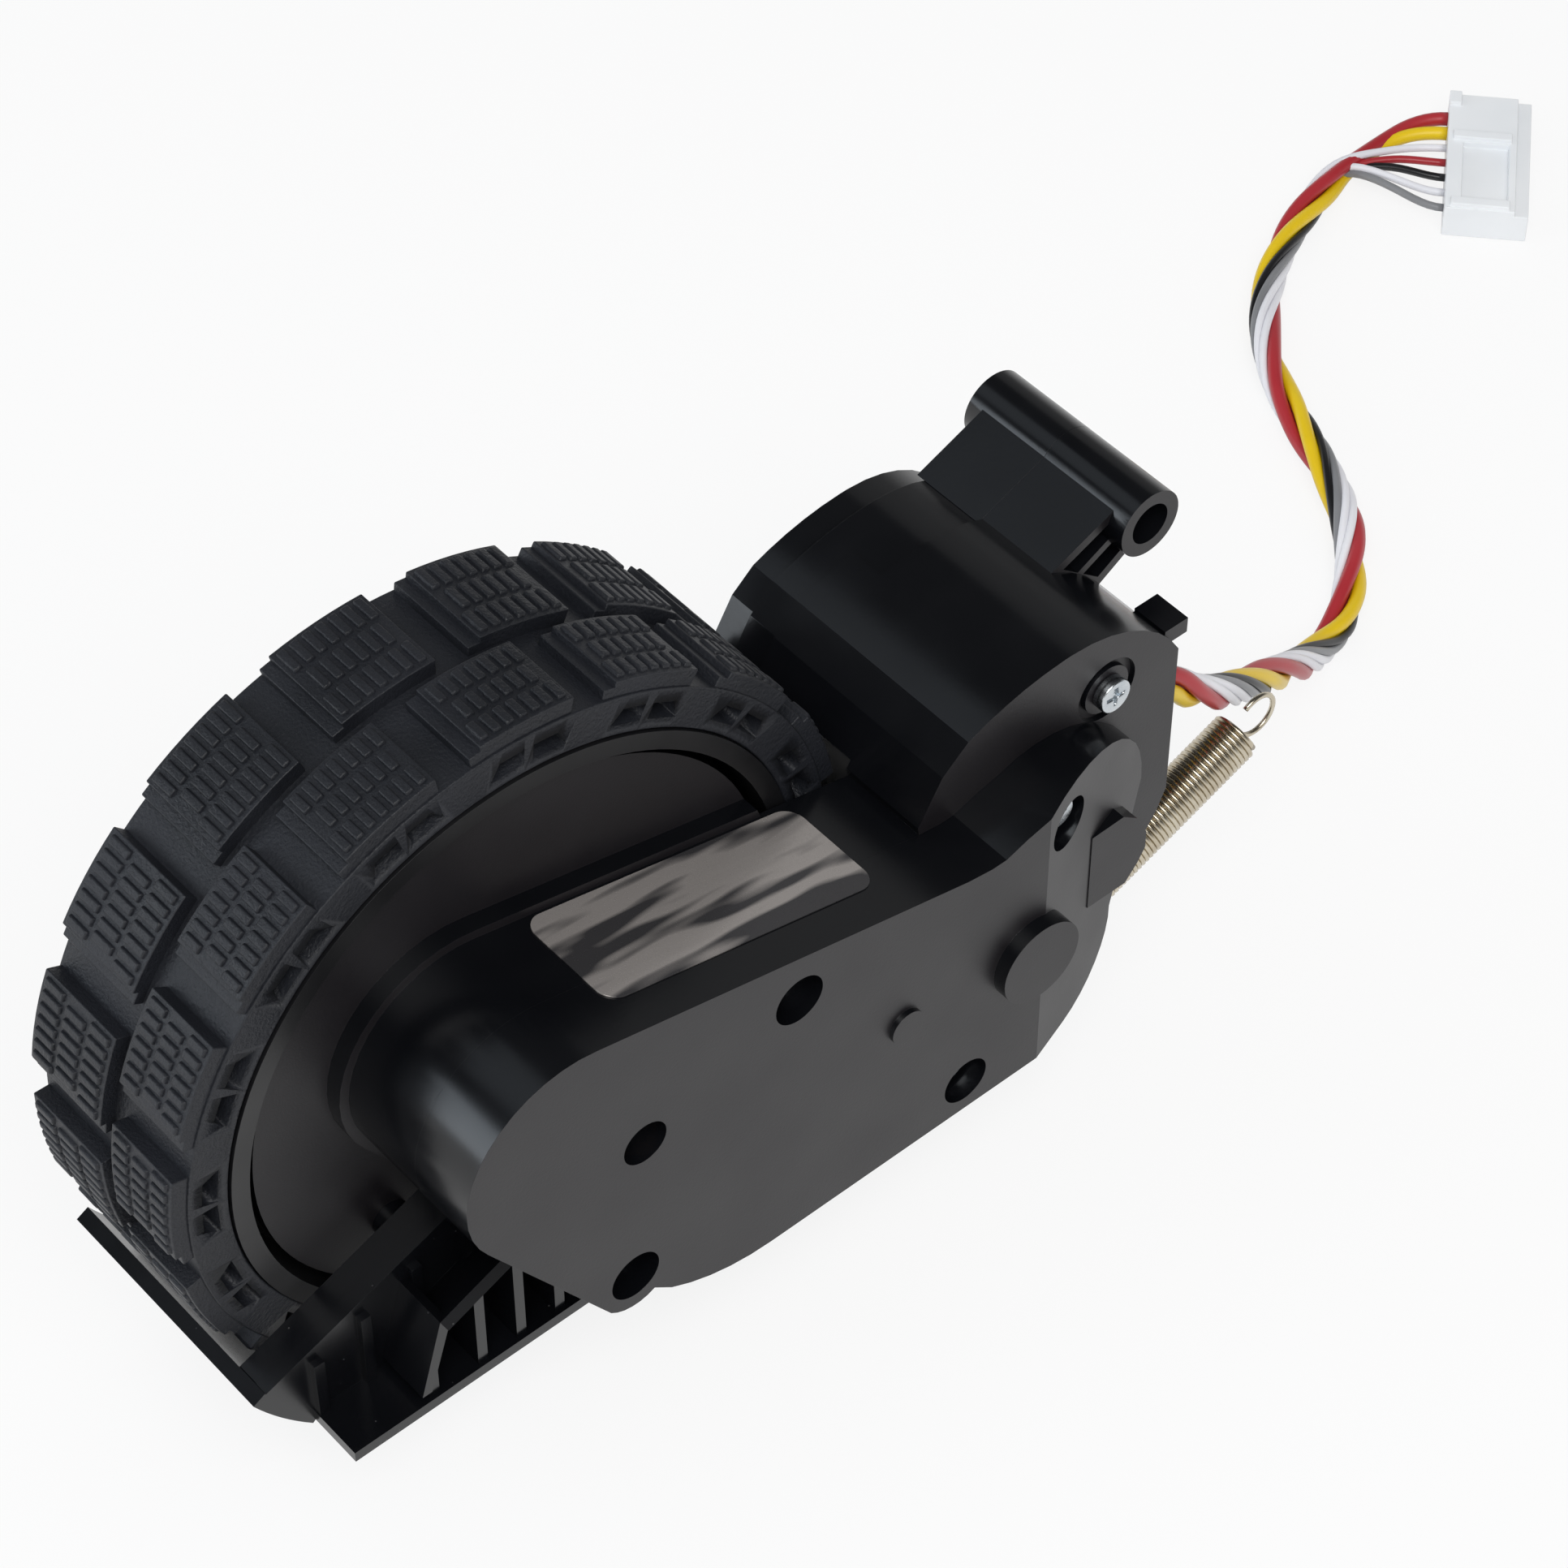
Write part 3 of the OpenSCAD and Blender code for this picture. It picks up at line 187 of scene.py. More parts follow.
def add(tree, kind, settings=None, links=None):
    """Adds a shader node. Settings name its inputs or its own values, and links give its inputs
    a socket, or a node whose first output is meant. A Mix takes its factor as input 0, numbers
    as 2 and 3 and colours as 6 and 7, and gives a colour as output 2."""
    made = tree.nodes.new("ShaderNode" + kind)
    for name, value in (settings or {}).items():
        if isinstance(name, int) or name in made.inputs:
            made.inputs[name].default_value = value
        else:
            setattr(made, name, value)
    for name, source in (links or {}).items():
        tree.links.new(getattr(source, "outputs", [source])[0], made.inputs[name])
    return made


def per_mm(size):
    """Scale at which one feature of a pattern is about this many millimetres across."""
    return 1 / (size * MM)


def new_material(name):
    made = bpy.data.materials.new(name)
    made.use_nodes = True
    made.node_tree.nodes.clear()
    return made, made.node_tree


def moulded(name, deep, worn, rough, swing, grain, grain_depth, dust_share=0.0, specular=0.5):
    """Moulded plastic: a grain in the tool's face, slow changes of gloss, and a little dust."""
    made, tree = new_material(name)
    here = add(tree, "TexCoord").outputs["Object"]
    fine = add(tree, "TexNoise", {"Scale": per_mm(grain), "Detail": 3.0, "Roughness": 0.55}, {"Vector": here})
    slow = add(tree, "TexNoise", {"Scale": per_mm(PATCH)}, {"Vector": here})
    specks = add(tree, "TexVoronoi", {"Scale": per_mm(SPECK_CELL)}, {"Vector": here})
    dusty = add(tree, "MapRange", {"From Min": 0.03, "From Max": 0.06, "To Min": dust_share, "To Max": 0.0},
                {"Value": specks.outputs["Distance"]})
    patches = add(tree, "MapRange", SWING, {"Value": slow})
    body = add(tree, "Mix", {"data_type": "RGBA", 6: linear(deep), 7: linear(worn)}, {0: patches})
    colour = add(tree, "Mix", {"data_type": "RGBA", 7: linear(DUST)}, {0: dusty, 6: body.outputs[2]})
    gloss = add(tree, "MapRange", {**SWING, "To Min": rough - swing, "To Max": rough + swing},
                {"Value": slow})
    bump = add(tree, "Bump", {"Strength": 1.0, "Distance": grain_depth * MM}, {"Height": fine})
    bsdf = add(tree, "BsdfPrincipled", {"Specular IOR Level": specular},
               {"Base Color": colour.outputs[2], "Roughness": gloss, "Normal": bump})
    add(tree, "OutputMaterial", links={"Surface": bsdf})
    return made


def metal(name, base, tint, rough, swing, grain, grain_depth):
    """Plated or bare metal: fine grain, patches of tint and changes of gloss."""
    made, tree = new_material(name)
    here = add(tree, "TexCoord").outputs["Object"]
    fine = add(tree, "TexNoise", {"Scale": per_mm(grain), "Detail": 3.0, "Roughness": 0.6}, {"Vector": here})
    slow = add(tree, "TexNoise", {"Scale": per_mm(METAL_PATCH)}, {"Vector": here})
    patches = add(tree, "MapRange", SWING, {"Value": slow})
    colour = add(tree, "Mix", {"data_type": "RGBA", 6: linear(base), 7: linear(tint)}, {0: patches})
    gloss = add(tree, "MapRange", {**SWING, "To Min": rough - swing, "To Max": rough + swing},
                {"Value": fine})
    bump = add(tree, "Bump", {"Strength": 1.0, "Distance": grain_depth * MM}, {"Height": fine})
    bsdf = add(tree, "BsdfPrincipled", {"Metallic": 1.0},
               {"Base Color": colour.outputs[2], "Roughness": gloss, "Normal": bump})
    add(tree, "OutputMaterial", links={"Surface": bsdf})
    return made


def make_housing_abs():
    """Black ABS: matt and greyer on the faces square to the wheel axis, -Y, where the mould is
    spark-eroded, and polished on the walls and in the holes, where it opens along them."""
    made, tree = new_material("housing_abs")
    place = add(tree, "TexCoord")
    here = place.outputs["Object"]
    facing = add(tree, "SeparateXYZ", links={0: place.outputs["Normal"]})
    front = add(tree, "MapRange", {"From Min": -0.7, "From Max": -0.45, "To Min": 1.0, "To Max": 0.0},
                {"Value": facing.outputs["Y"]})
    slow = add(tree, "TexNoise", {"Scale": per_mm(PATCH)}, {"Vector": here})
    patches = add(tree, "MapRange", SWING, {"Value": slow})
    wall = add(tree, "Mix", {"data_type": "RGBA", 6: linear("#0a0b0e"), 7: linear("#0e0f12")}, {0: patches})
    face = add(tree, "Mix", {"data_type": "RGBA", 6: linear("#181619"), 7: linear("#1c1a1d")}, {0: patches})
    colour = add(tree, "Mix", {"data_type": "RGBA"}, {0: front, 6: wall.outputs[2], 7: face.outputs[2]})
    wall_gloss = add(tree, "MapRange", {**SWING, "To Min": 0.17, "To Max": 0.25}, {"Value": slow})
    face_gloss = add(tree, "MapRange", {**SWING, "To Min": 0.4, "To Max": 0.46}, {"Value": slow})
    gloss = add(tree, "Mix", links={0: front, 2: wall_gloss, 3: face_gloss})
    orange_peel = add(tree, "TexNoise", {"Scale": per_mm(0.5)}, {"Vector": here})
    # The eroded grain is really about 0.05 mm, and is drawn at 0.22 mm, so that it shows.
    eroded = add(tree, "TexNoise", {"Scale": per_mm(0.22), "Detail": 3.0, "Roughness": 0.55},
                 {"Vector": here})
    grain = add(tree, "Mix", links={0: front, 2: orange_peel, 3: eroded})
    relief = add(tree, "MapRange", {"To Min": 0.25, "To Max": 1.0}, {"Value": front})
    bump = add(tree, "Bump", {"Distance": 0.012 * MM}, {"Height": grain, "Strength": relief})
    bsdf = add(tree, "BsdfPrincipled", {"Specular IOR Level": 0.45},
               {"Base Color": colour.outputs[2], "Roughness": gloss, "Normal": bump})
    add(tree, "OutputMaterial", links={"Surface": bsdf})
    return made


def make_label_film():
    """Metallised polyester film: nearly a mirror, with long ripples over its glue, and dark and pale bands
    along them painted into its colour as reflections.
    """
    made, tree = new_material("label_film")
    here = add(tree, "TexCoord").outputs["Object"]
    along = add(tree, "Mapping", {"vector_type": "TEXTURE", "Rotation": (0, 0, math.radians(4)),
                                  "Scale": (6, 0.5, 1)}, {"Vector": here})
    ripple = add(tree, "TexNoise", {"Scale": per_mm(6.0)}, {"Vector": along})
    grain = add(tree, "TexNoise", {"Scale": per_mm(0.25)}, {"Vector": here})
    # Painted reflection: the colour swings from dark grey to pale along the ripples, standing in for what
    # they mirror; the ripples' relief itself comes from the bump.
    painted_reflection_bands = add(tree, "MapRange", {"From Min": 0.42, "From Max": 0.5}, {"Value": ripple})
    colour = add(tree, "Mix", {"data_type": "RGBA", 6: linear("#4c4b4d"), 7: linear("#b4aeaa")}, {0: painted_reflection_bands})
    gloss = add(tree, "MapRange", {**SWING, "To Min": 0.2, "To Max": 0.28}, {"Value": grain})
    bump = add(tree, "Bump", {"Strength": 0.6, "Distance": 0.12 * MM}, {"Height": ripple})
    bsdf = add(tree, "BsdfPrincipled", {"Metallic": 0.55},
               {"Base Color": colour.outputs[2], "Roughness": gloss, "Normal": bump})
    add(tree, "OutputMaterial", links={"Surface": bsdf})
    return made


def make_finishes():
    made = {name: moulded(name, *row) for name, row in MOULDED.items()}
    made.update({name: metal(name, *row) for name, row in METALS.items()})
    made["housing_abs"] = make_housing_abs()
    made["label_film"] = make_label_film()
    for colour, (deep, pale) in INSULATION.items():
        made[colour] = moulded(colour + "_insulation", deep, pale, *INSULATION_SKIN)
    return made


# Floor and studio.

# Half the floor's side in metres, how far it lies under the tyre, and how much of it is a plain
# white glow to the camera; the rest takes the object's shadow.
FLOOR_HALF = 6.0
FLOOR_DROP = 0.1
GLOW_SHARE = 0.84


def make_floor():
    made, tree = new_material("studio_floor")
    lit = add(tree, "BsdfDiffuse", {"Color": linear("#e8e8e8")})
    glow = add(tree, "Emission", {"Color": (1, 1, 1, 1), "Strength": 1.0})
    path = add(tree, "LightPath")
    seen = add(tree, "Math", {"operation": "MAXIMUM"},
               {0: path.outputs["Is Camera Ray"], 1: path.outputs["Is Glossy Ray"]})
    seen = add(tree, "Math", {"operation": "MAXIMUM"}, {0: seen, 1: path.outputs["Is Transmission Ray"]})
    share = add(tree, "Math", {"operation": "MULTIPLY", 1: GLOW_SHARE}, {0: seen})
    mixed = add(tree, "MixShader", links={0: share, 1: lit, 2: glow})
    add(tree, "OutputMaterial", links={"Surface": mixed})
    mesh = bpy.data.meshes.new("studio_floor")
    z = TYRE_LOW.z - FLOOR_DROP * MM
    corners = [(x * FLOOR_HALF, y * FLOOR_HALF, z) for x, y in ((-1, -1), (1, -1), (1, 1), (-1, 1))]
    mesh.from_pydata(corners, [], [(0, 1, 2, 3)])
    mesh.materials.append(made)
    floor = bpy.data.objects.new("studio_floor", mesh)
    bpy.context.scene.collection.objects.link(floor)


def make_world():
    """White all round to the camera; to gloss, white at the horizon and dim overhead."""
    world = bpy.data.worlds.new("studio")
    world.use_nodes = True
    tree = world.node_tree
    tree.nodes.clear()
    up = add(tree, "SeparateXYZ", links={0: add(tree, "TexCoord").outputs["Generated"]})
    overhead = add(tree, "MapRange", {"From Max": 0.45, "To Min": 0.9, "To Max": 0.05},
                   {"Value": up.outputs["Z"]})
    path = add(tree, "LightPath")
    gloss = add(tree, "Mix", {2: 0.5}, {0: path.outputs["Is Glossy Ray"], 3: overhead})
    strength = add(tree, "Mix", {3: 1.0}, {0: path.outputs["Is Camera Ray"], 2: gloss})
    back = add(tree, "Background", {"Color": (1, 1, 1, 1)}, {"Strength": strength})
    add(tree, "OutputWorld", links={"Surface": back})
    bpy.context.scene.world = world


# Mesh helpers.

# Corners closer than this are joined before edges are rounded, and faces within this angle of
# each other are one flat face.
JOIN_GAP = 0.002
FLAT_ANGLE = 0.4
FLAT_WEIGHT = 80


def to_piece(shape, name, body, material):
    """Turns a bmesh into a piece of the object that rides on a body."""
    made = bpy.data.objects.new(name, to_mesh(shape, name))
    made.data.materials.append(material)
    for face in made.data.polygons:
        face.use_smooth = True
    bpy.context.scene.collection.objects.link(made)
    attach(made, body)
    return made


def to_mesh(shape, name):
    mesh = bpy.data.meshes.new(name)
    shape.normal_update()
    shape.to_mesh(mesh)
    shape.free()
    return mesh


def soften(thing, width, angle=16):
    """Rounds a piece's edges as its mould or tool left them, and keeps its flat faces flat."""
    thing.modifiers.new("join", "WELD").merge_threshold = JOIN_GAP * MM
    flats = thing.modifiers.new("flats", "DECIMATE")
    flats.decimate_type = "DISSOLVE"
    flats.angle_limit = math.radians(FLAT_ANGLE)
    bevel = thing.modifiers.new("edges", "BEVEL")
    bevel.width = width * MM
    bevel.segments = 2
    bevel.limit_method = "ANGLE"
    bevel.angle_limit = math.radians(angle)
    bevel.use_clamp_overlap = True
    thing.modifiers.new("normals", "WEIGHTED_NORMAL").weight = FLAT_WEIGHT


def dress(node, material, edge):
    """Gives a CAD node its finish and rounds its edges."""
    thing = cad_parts[node]
    thing.data.materials.clear()
    thing.data.materials.append(material)
    for face in thing.data.polygons:
        face.use_smooth = edge > 0
        face.material_index = 0
    thing.data.normals_split_custom_set([(0, 0, 0)] * len(thing.data.loops))
    if edge:
        soften(thing, edge)


def ways_across(points):
    """Two directions square to a path at each of its points, carried along without twist."""
    out = []
    side = None
    for i in range(len(points)):
        ahead = (points[min(i + 1, len(points) - 1)] - points[max(i - 1, 0)]).normalized()
        if side is None:
            guide = Vector((0, 0, 1)) if abs(ahead.z) < 0.9 else Vector((1, 0, 0))
            side = guide.cross(ahead).normalized()
        side = (side - ahead * side.dot(ahead)).normalized()
        out.append((side, ahead.cross(side)))
    return out


def lengths(points):
    """How far along a path each of its points lies."""
    out = [0.0]
    for a, b in zip(points, points[1:]):
        out.append(out[-1] + (b - a).length)
    return out


def add_tube(shape, points, radius, sides):
    """Adds a tube with closed ends along a path to a bmesh."""
    rows = []
    turns = [2 * math.pi * k / sides for k in range(sides)]
    for p, (side, over) in zip(points, ways_across(points)):
        rows.append([shape.verts.new(p + radius * (math.cos(a) * side + math.sin(a) * over)) for a in turns])
    for a, b in zip(rows, rows[1:]):
        for k in range(sides):
            shape.faces.new((a[k], a[(k + 1) % sides], b[(k + 1) % sides], b[k]))
    shape.faces.new(list(reversed(rows[0])))
    shape.faces.new(rows[-1])


def smooth_path(points, step):
    """A smooth curve through the points, cut into steps of about this length."""
    ends = [points[0] * 2 - points[1]] + list(points) + [points[-1] * 2 - points[-2]]
    out = []
    for a, b, c, d in zip(ends, ends[1:], ends[2:], ends[3:]):
        count = max(1, round((c - b).length / step))
        for i in range(count):
            t = i / count
            out.append(0.5 * ((2 * b) + (c - a) * t + (2 * a - 5 * b + 4 * c - d) * t * t
                              + (3 * b - a - 3 * c + d) * t ** 3))
    return out + [points[-1]]


# Lead: seven twisted wires from the barrel wall to the plug.

# How the plug is turned on the floor, the pitch of its ways, and their height over the bundle.
PLUG_TURN = -48
WAY_PITCH = 2.5
WAY_RISE = 0.3
# Length of one turn of the twist, and of the stretch over which the wires fan out.
TWIST = 31.0
FAN = 15.0
# Radii of the power wires and of the signal wires, and the length of the steps of their curve.
THICK, THIN = 0.75, 0.43
LEAD_STEP = 0.8
# Route of the bundle's middle, from the barrel wall, down to the floor and along it.
ROUTE = [(64, -5, -1), (66.5, -5, -1.1), (69.5, -4.9, -3), (72.5, -4.6, -6.3), (76.5, -3.6, -10),
         (82, -1.6, -14.6), (88, 0.8, -19.4), (94.5, 3.6, -25), (100.5, 6.4, -30), (105, 8.4, -32.6),
         (109, 9.9, -33.3), (113, 12.4, -33.3), (117, 16, -33.3), (120.6, 20.6, -33.3), (123.4, 26, -33.3),
         (126.2, 32.5, -33.3), (129.4, 39, -33.3), (134, 45.4, -33.3), (139.6, 50.4, -33.3),
         (146, 54.2, -33.3), (152.6, 56.6, -33.3), (158.4, 57.8, -33.3), (163.6, 55.6, -33.3),
         (167.5, 51.5, -33.3)]
# Each wire: name, colour, radius, place in the bundle as distance and angle, way in the plug.
WIRES = [("power_wire_a", "red", THICK, 0.93, 30, 3), ("power_wire_b", "yellow", THICK, 0.93, 150, 2),
         ("signal_wire_a", "white", THIN, 1.26, 328, 1), ("signal_wire_b", "red", THIN, 0.33, 270, 0),
         ("signal_wire_c", "black", THIN, 1.26, 212, -1), ("signal_wire_d", "white", THIN, 1.26, 289, -2),
         ("signal_wire_e", "grey", THIN, 1.26, 251, -3)]


def make_lead(finishes):
    """The wires lie round the route in a long twist, and fan out to their ways before the plug."""
    path = smooth_path([spot(*p) for p in ROUTE], LEAD_STEP * MM)
    crossways = ways_across(path)
    along = lengths(path)
    fan_from = along[-1] - FAN * MM
    turn = math.radians(PLUG_TURN)
    row_way = Vector((-math.sin(turn), math.cos(turn), 0))
    for name, colour, radius, out, degrees, way in WIRES:
        line = []
        for p, s, (side, over) in zip(path, along, crossways):
            a = math.radians(degrees) + 2 * math.pi * s / (TWIST * MM)
            twisted = p + out * MM * (math.cos(a) * side + math.sin(a) * over)
            t = max(0.0, (s - fan_from) / (FAN * MM))
            t = t * t * (3 - 2 * t)
            spread = p + row_way * (way * WAY_PITCH * MM) + Vector((0, 0, WAY_RISE * MM))
            line.append(twisted.lerp(spread, t))
        shape = bmesh.new()
        add_tube(shape, line, radius * MM, sides=12)
        wire = to_piece(shape, name, "housing", finishes[colour])
        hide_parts("wire_bundle")


# Tyre: a band with two rows of blocks.

GROOVE_R = TYRE_R - 1.8
SEAT_R = GROOVE_R - 4
BAND_STEPS = 192
# Bevels of the band at its seat on the rim and at its groove.
SEAT_EDGE, GROOVE_EDGE = 0.25, 0.15
BLOCKS = 16
PITCH = 360 / BLOCKS
BLOCK_HALF = PITCH * 0.68 / 2
FIRST_BLOCK = 18
# Each row of blocks lies between two distances from the tyre's near face, and the far row is
# turned by a part of the pitch.
NEAR_ROW = (0.25, TYRE_W * 0.425)
FAR_ROW = (TYRE_W * 0.5, TYRE_W - 0.25)
FAR_TURN = 0.45
# Blocks and steps start a little inside the band.
BLOCK_ROOT = GROOVE_R - 0.5
# The low step in front of a block: its top, and how far it reaches under and past the block's
# end.
STEP_TOP = GROOVE_R + 0.95
STEP_UNDER, STEP_PAST = 0.3, 1.9
# Pads on a block: rows, pads in a row, their height, how deep they start in the block, the
# gaps between rows, the angle left free at both ends of a row, the part of their pitch that
# they fill, and how far their sides lean in.
PAD_ROWS, PADS = 3, 7
PAD_RISE = 0.3
PAD_ROOT = 0.2
PAD_GAP = 0.2
PAD_MARGIN = 0.35
PAD_SHARE = 0.76
PAD_DRAFT = 0.12
# Pockets, two under each block of the near row: depth, the radii between which they lie, and
# the angles from the block's middle where they start, end at the top and end at the bottom.
POCKET_DEPTH = 5
POCKET_LOW, POCKET_HIGH = SEAT_R + 1.2, GROOVE_R - 1.3
POCKET_START, POCKET_HIGH_END, POCKET_LOW_END = 0.8, 5.2, 7


def arc_slab(shape, a0, a1, y0, y1, r0, r1, steps, draft=0.0):
    """A slab curved about the wheel axis between two angles; draft narrows its top."""
    cut = math.degrees(draft / r1)
    rows = []
    for i in range(steps + 1):
        t = i / steps
        low = polar(r0, a0 + (a1 - a0) * t)
        high = polar(r1, a0 + cut + (a1 - a0 - 2 * cut) * t)
        rows.append([shape.verts.new(spot(low[0], y0, low[1])), shape.verts.new(spot(low[0], y1, low[1])),
                     shape.verts.new(spot(high[0], y1 - draft, high[1])),
                     shape.verts.new(spot(high[0], y0 + draft, high[1]))])
    for a, b in zip(rows, rows[1:]):
        for k in range(4):
            shape.faces.new((a[k], b[k], b[(k + 1) % 4], a[(k + 1) % 4]))
    shape.faces.new(list(rows[0]))
    shape.faces.new(list(reversed(rows[-1])))


def tread_block(shape, middle, y0, y1):
    """One block: a plateau with three rows of small pads, and a low step at its leading end."""
    top = TYRE_R - PAD_RISE
    a0, a1 = middle - BLOCK_HALF, middle + BLOCK_HALF
    arc_slab(shape, a0, a1, y0, y1, BLOCK_ROOT, top, 6)
    arc_slab(shape, a1 - STEP_UNDER, a1 + STEP_PAST, y0, y1, BLOCK_ROOT, STEP_TOP, 1)
    row_pitch = (y1 - y0 - 2 * PAD_GAP) / PAD_ROWS
    pad_pitch = 2 * (BLOCK_HALF - PAD_MARGIN) / PADS
    half = pad_pitch * PAD_SHARE / 2
    for row in range(PAD_ROWS):
        # The middle row has one pad fewer, so that the pads are staggered.
        count = PADS if row != 1 else PADS - 1
        y = y0 + PAD_GAP + row_pitch * row
        for i in range(count):
            a = middle + (i - (count - 1) / 2) * pad_pitch
            arc_slab(shape, a - half, a + half, y + PAD_GAP, y + row_pitch - PAD_GAP, top - PAD_ROOT,
                     TYRE_R, 1, PAD_DRAFT)


def make_tyre(rubber):
    shape = bmesh.new()
    for i in range(BLOCKS):
        tread_block(shape, FIRST_BLOCK + i * PITCH, *NEAR_ROW)
        tread_block(shape, FIRST_BLOCK + (i + FAR_TURN) * PITCH, *FAR_ROW)
    tread = to_piece(shape, "tread_blocks", "wheel", rubber)
    soften(tread, 0.12, angle=30)
    band = make_band(rubber)
    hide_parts("tyre")


def make_band(rubber):
    """The band under the blocks, with its pairs of pockets in the near side."""
    shape = bmesh.new()
    profile = [(SEAT_R, SEAT_EDGE), (SEAT_R + SEAT_EDGE, 0), (GROOVE_R - GROOVE_EDGE, 0),
               (GROOVE_R, GROOVE_EDGE), (GROOVE_R, TYRE_W - GROOVE_EDGE),
               (GROOVE_R - GROOVE_EDGE, TYRE_W), (SEAT_R + SEAT_EDGE, TYRE_W),
               (SEAT_R, TYRE_W - SEAT_EDGE)]
    rings = []
    for i in range(BAND_STEPS):
        a = 360 * i / BAND_STEPS
        rings.append([shape.verts.new(spot(polar(r, a)[0], y, polar(r, a)[1])) for r, y in profile])
    count = len(profile)
    for i in range(BAND_STEPS):
        a, b = rings[i], rings[(i + 1) % BAND_STEPS]
        for k in range(count):
            shape.faces.new((a[k], a[(k + 1) % count], b[(k + 1) % count], b[k]))
    band = to_piece(shape, "tyre_band", "wheel", rubber)
    cut_away(band, make_pockets())
    band.modifiers.new("normals", "WEIGHTED_NORMAL").weight = FLAT_WEIGHT
    return band


def make_pockets():
    cutter = bmesh.new()
    for i in range(BLOCKS):
        middle = FIRST_BLOCK + i * PITCH
        for s in (-1, 1):
            corners = [polar(POCKET_LOW, middle + s * POCKET_START),
                       polar(POCKET_HIGH, middle + s * POCKET_START),
                       polar(POCKET_HIGH, middle + s * POCKET_HIGH_END),
                       polar(POCKET_LOW, middle + s * POCKET_LOW_END)]
            if s < 0:
                corners.reverse()
            near = [cutter.verts.new(spot(x, -1, z)) for x, z in corners]
            deep = [cutter.verts.new(spot(x, POCKET_DEPTH, z)) for x, z in corners]
            cutter.faces.new(near)
            cutter.faces.new(list(reversed(deep)))
            for k in range(4):
                cutter.faces.new((near[(k + 1) % 4], near[k], deep[k], deep[(k + 1) % 4]))
    bmesh.ops.recalc_face_normals(cutter, faces=cutter.faces)
    return to_mesh(cutter, "pocket_cutter")


def cut_away(thing, cutter_mesh):
    """Subtracts a mesh from a piece and keeps the result as plain mesh."""
    cutter = bpy.data.objects.new("cutter", cutter_mesh)
    bpy.context.scene.collection.objects.link(cutter)
    boolean = thing.modifiers.new("cut", "BOOLEAN")
    boolean.operation = "DIFFERENCE"
    boolean.solver = "EXACT"
    boolean.object = cutter
    bpy.context.view_layer.update()
    graph = bpy.context.evaluated_depsgraph_get()
    made = bpy.data.meshes.new_from_object(thing.evaluated_get(graph))
    thing.modifiers.clear()
    thing.data = made
    bpy.data.objects.remove(cutter)
    for face in made.polygons:
        face.use_smooth = True


# Spring, in a plane across the wheel axis.

SPRING_Y = -6
SPRING_TILT = 21.8
WIRE_R = 0.27
COIL_R = 2.45
COIL_LENGTH = 21.0
# The turns stand this many radii of the wire apart, so that they just touch.
TURN_PITCH = 1.86
STEPS_PER_TURN = 20
BEND_STEPS = 27
LOOP_R = 1.8
HOOK_R = 2.2
# Gaps from the loop's middle to the coil, and from the coil to the hook's middle.
LOOP_GAP = 2.0
HOOK_GAP = 2.3


def wire_arc(middle, r, start, sweep, run, up):
    """Points of a bend in the wire, in the plane of two directions."""
    angles = [math.radians(start + sweep * i / BEND_STEPS) for i in range(BEND_STEPS + 1)]
    return [middle + r * (math.cos(a) * run + math.sin(a) * up) for a in angles]


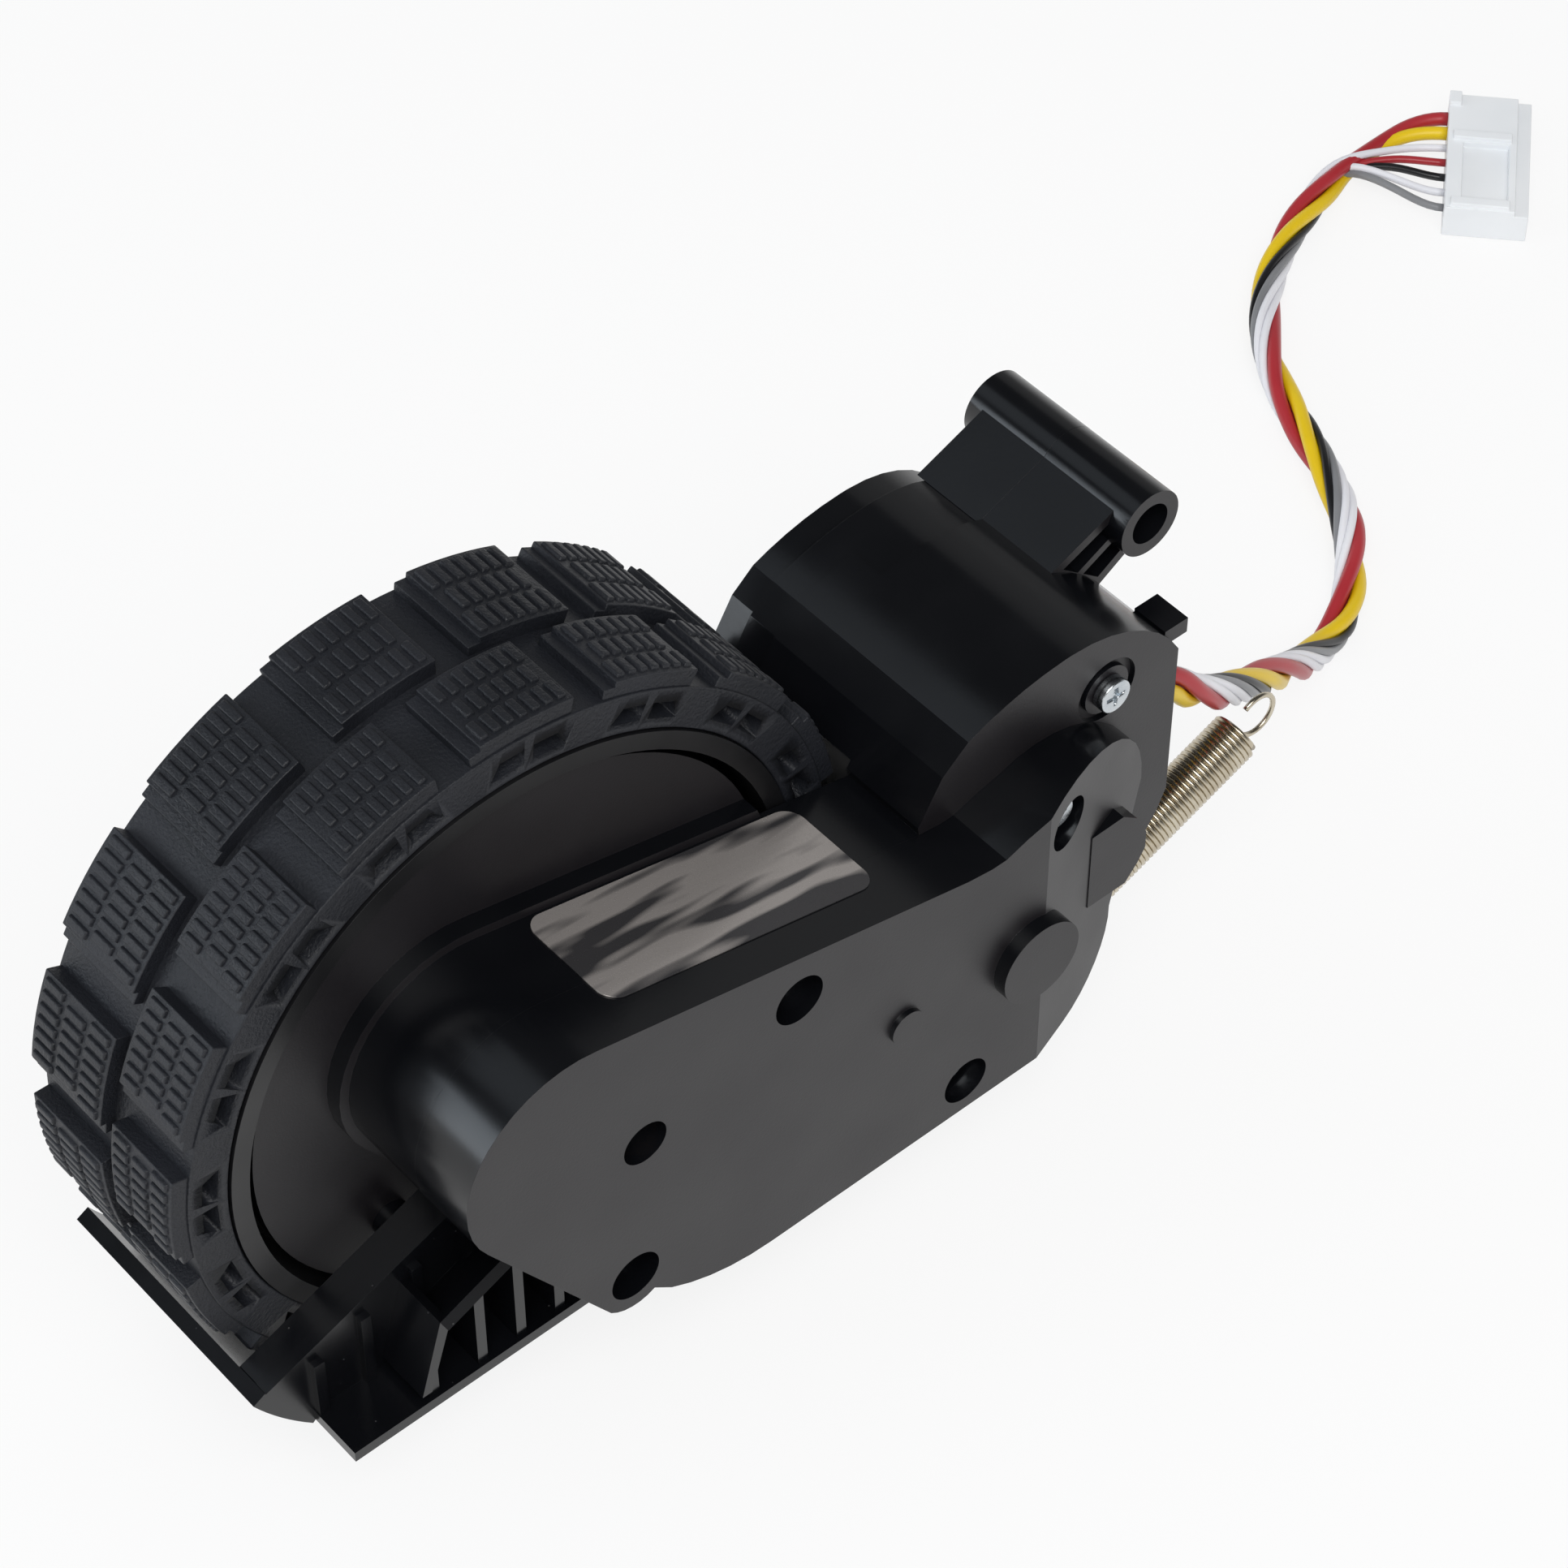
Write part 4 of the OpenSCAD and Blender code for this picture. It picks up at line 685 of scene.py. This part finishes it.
def make_spring(wire):
    """Close-wound coil with a closed loop on its post and an open hook."""
    low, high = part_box("suspension_spring")
    tilt = math.radians(SPRING_TILT)
    side = Vector((0, 1, 0))
    run = Vector((math.cos(tilt), 0, math.sin(tilt)))
    up = side.cross(run)
    hook_x = from_box(high).x - HOOK_R - WIRE_R
    anchor = Vector((hook_x - (LOOP_GAP + COIL_LENGTH + HOOK_GAP) * math.cos(tilt), SPRING_Y,
                     from_box(low).z + LOOP_R + WIRE_R))
    start = anchor + run * LOOP_GAP
    turns = int(COIL_LENGTH / (TURN_PITCH * WIRE_R))
    r = COIL_R - WIRE_R
    line = wire_arc(anchor, LOOP_R, 60, 300, run, up)
    for i in range(turns * STEPS_PER_TURN + 1):
        a = 2 * math.pi * i / STEPS_PER_TURN
        d = WIRE_R + (COIL_LENGTH - 2 * WIRE_R) * i / (turns * STEPS_PER_TURN)
        line.append(start + run * d + r * (math.sin(a) * up - math.cos(a) * side))
    line += wire_arc(start + run * (COIL_LENGTH + HOOK_GAP), HOOK_R, 180, -290, run, up)
    shape = bmesh.new()
    add_tube(shape, [spot(*p) for p in line], WIRE_R * MM, sides=8)
    spring = to_piece(shape, "coil_spring", "spring", wire)
    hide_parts("suspension_spring")


# The whole object.

# Finish and edge radius of the CAD nodes that stay.
DRESSES = [("housing_abs", 0.3, ["inner_housing", "motor_end_cover", "gearbox_cover"]),
           ("polished_abs", 0.2, ["skirt_frame"]),
           ("rim_polyamide", 0.15, ["wheel_rim"]),
           ("label_film", 0.03, ["label_foil"]),
           ("zinc_plating", 0.25, ["cover_screws", "barrel_screws", "hub_screw"]),
           ("zinc_plating", 0.08, ["hub_washer", "motor_screws", "motor_can"]),
           ("ground_steel", 0.08, ["axle_shaft", "motor_shaft", "gear_pins"]),
           ("gear_acetal", 0.0, ["output_gear", "third_gear", "second_gear", "first_gear"]),
           ("sintered_bronze", 0.08, ["axle_bushes", "motor_bushes"]),
           ("turned_brass", 0.0, ["motor_pinion", "motor_terminals"]),
           ("enamelled_winding", 0.15, ["motor_armature"]),
           ("drawn_copper", 0.0, ["commutator"]),
           ("sintered_ferrite", 0.1, ["motor_magnets", "encoder_magnet"]),
           ("natural_nylon", 0.15, ["motor_end_cap"]),
           ("pressed_carbon", 0.1, ["motor_brushes"]),
           ("solder_mask", 0.05, ["encoder_board"]),
           ("epoxy_chip", 0.05, ["hall_sensors"]),
           ("natural_nylon", 0.25, ["plug_housing"]),
           ("tin_plating", 0.05, ["plug_contacts"])]

make_camera()
make_world()
make_floor()
for row in SOFTBOXES:
    make_softbox(*row)

finishes = make_finishes()
make_lead(finishes)
make_tyre(finishes["moulded_rubber"])
make_spring(finishes["nickel_wire"])
for finish, edge, nodes in DRESSES:
    for node in nodes:
        dress(node, finishes[finish], edge)

bpy.context.scene.view_settings.view_transform = "Standard"
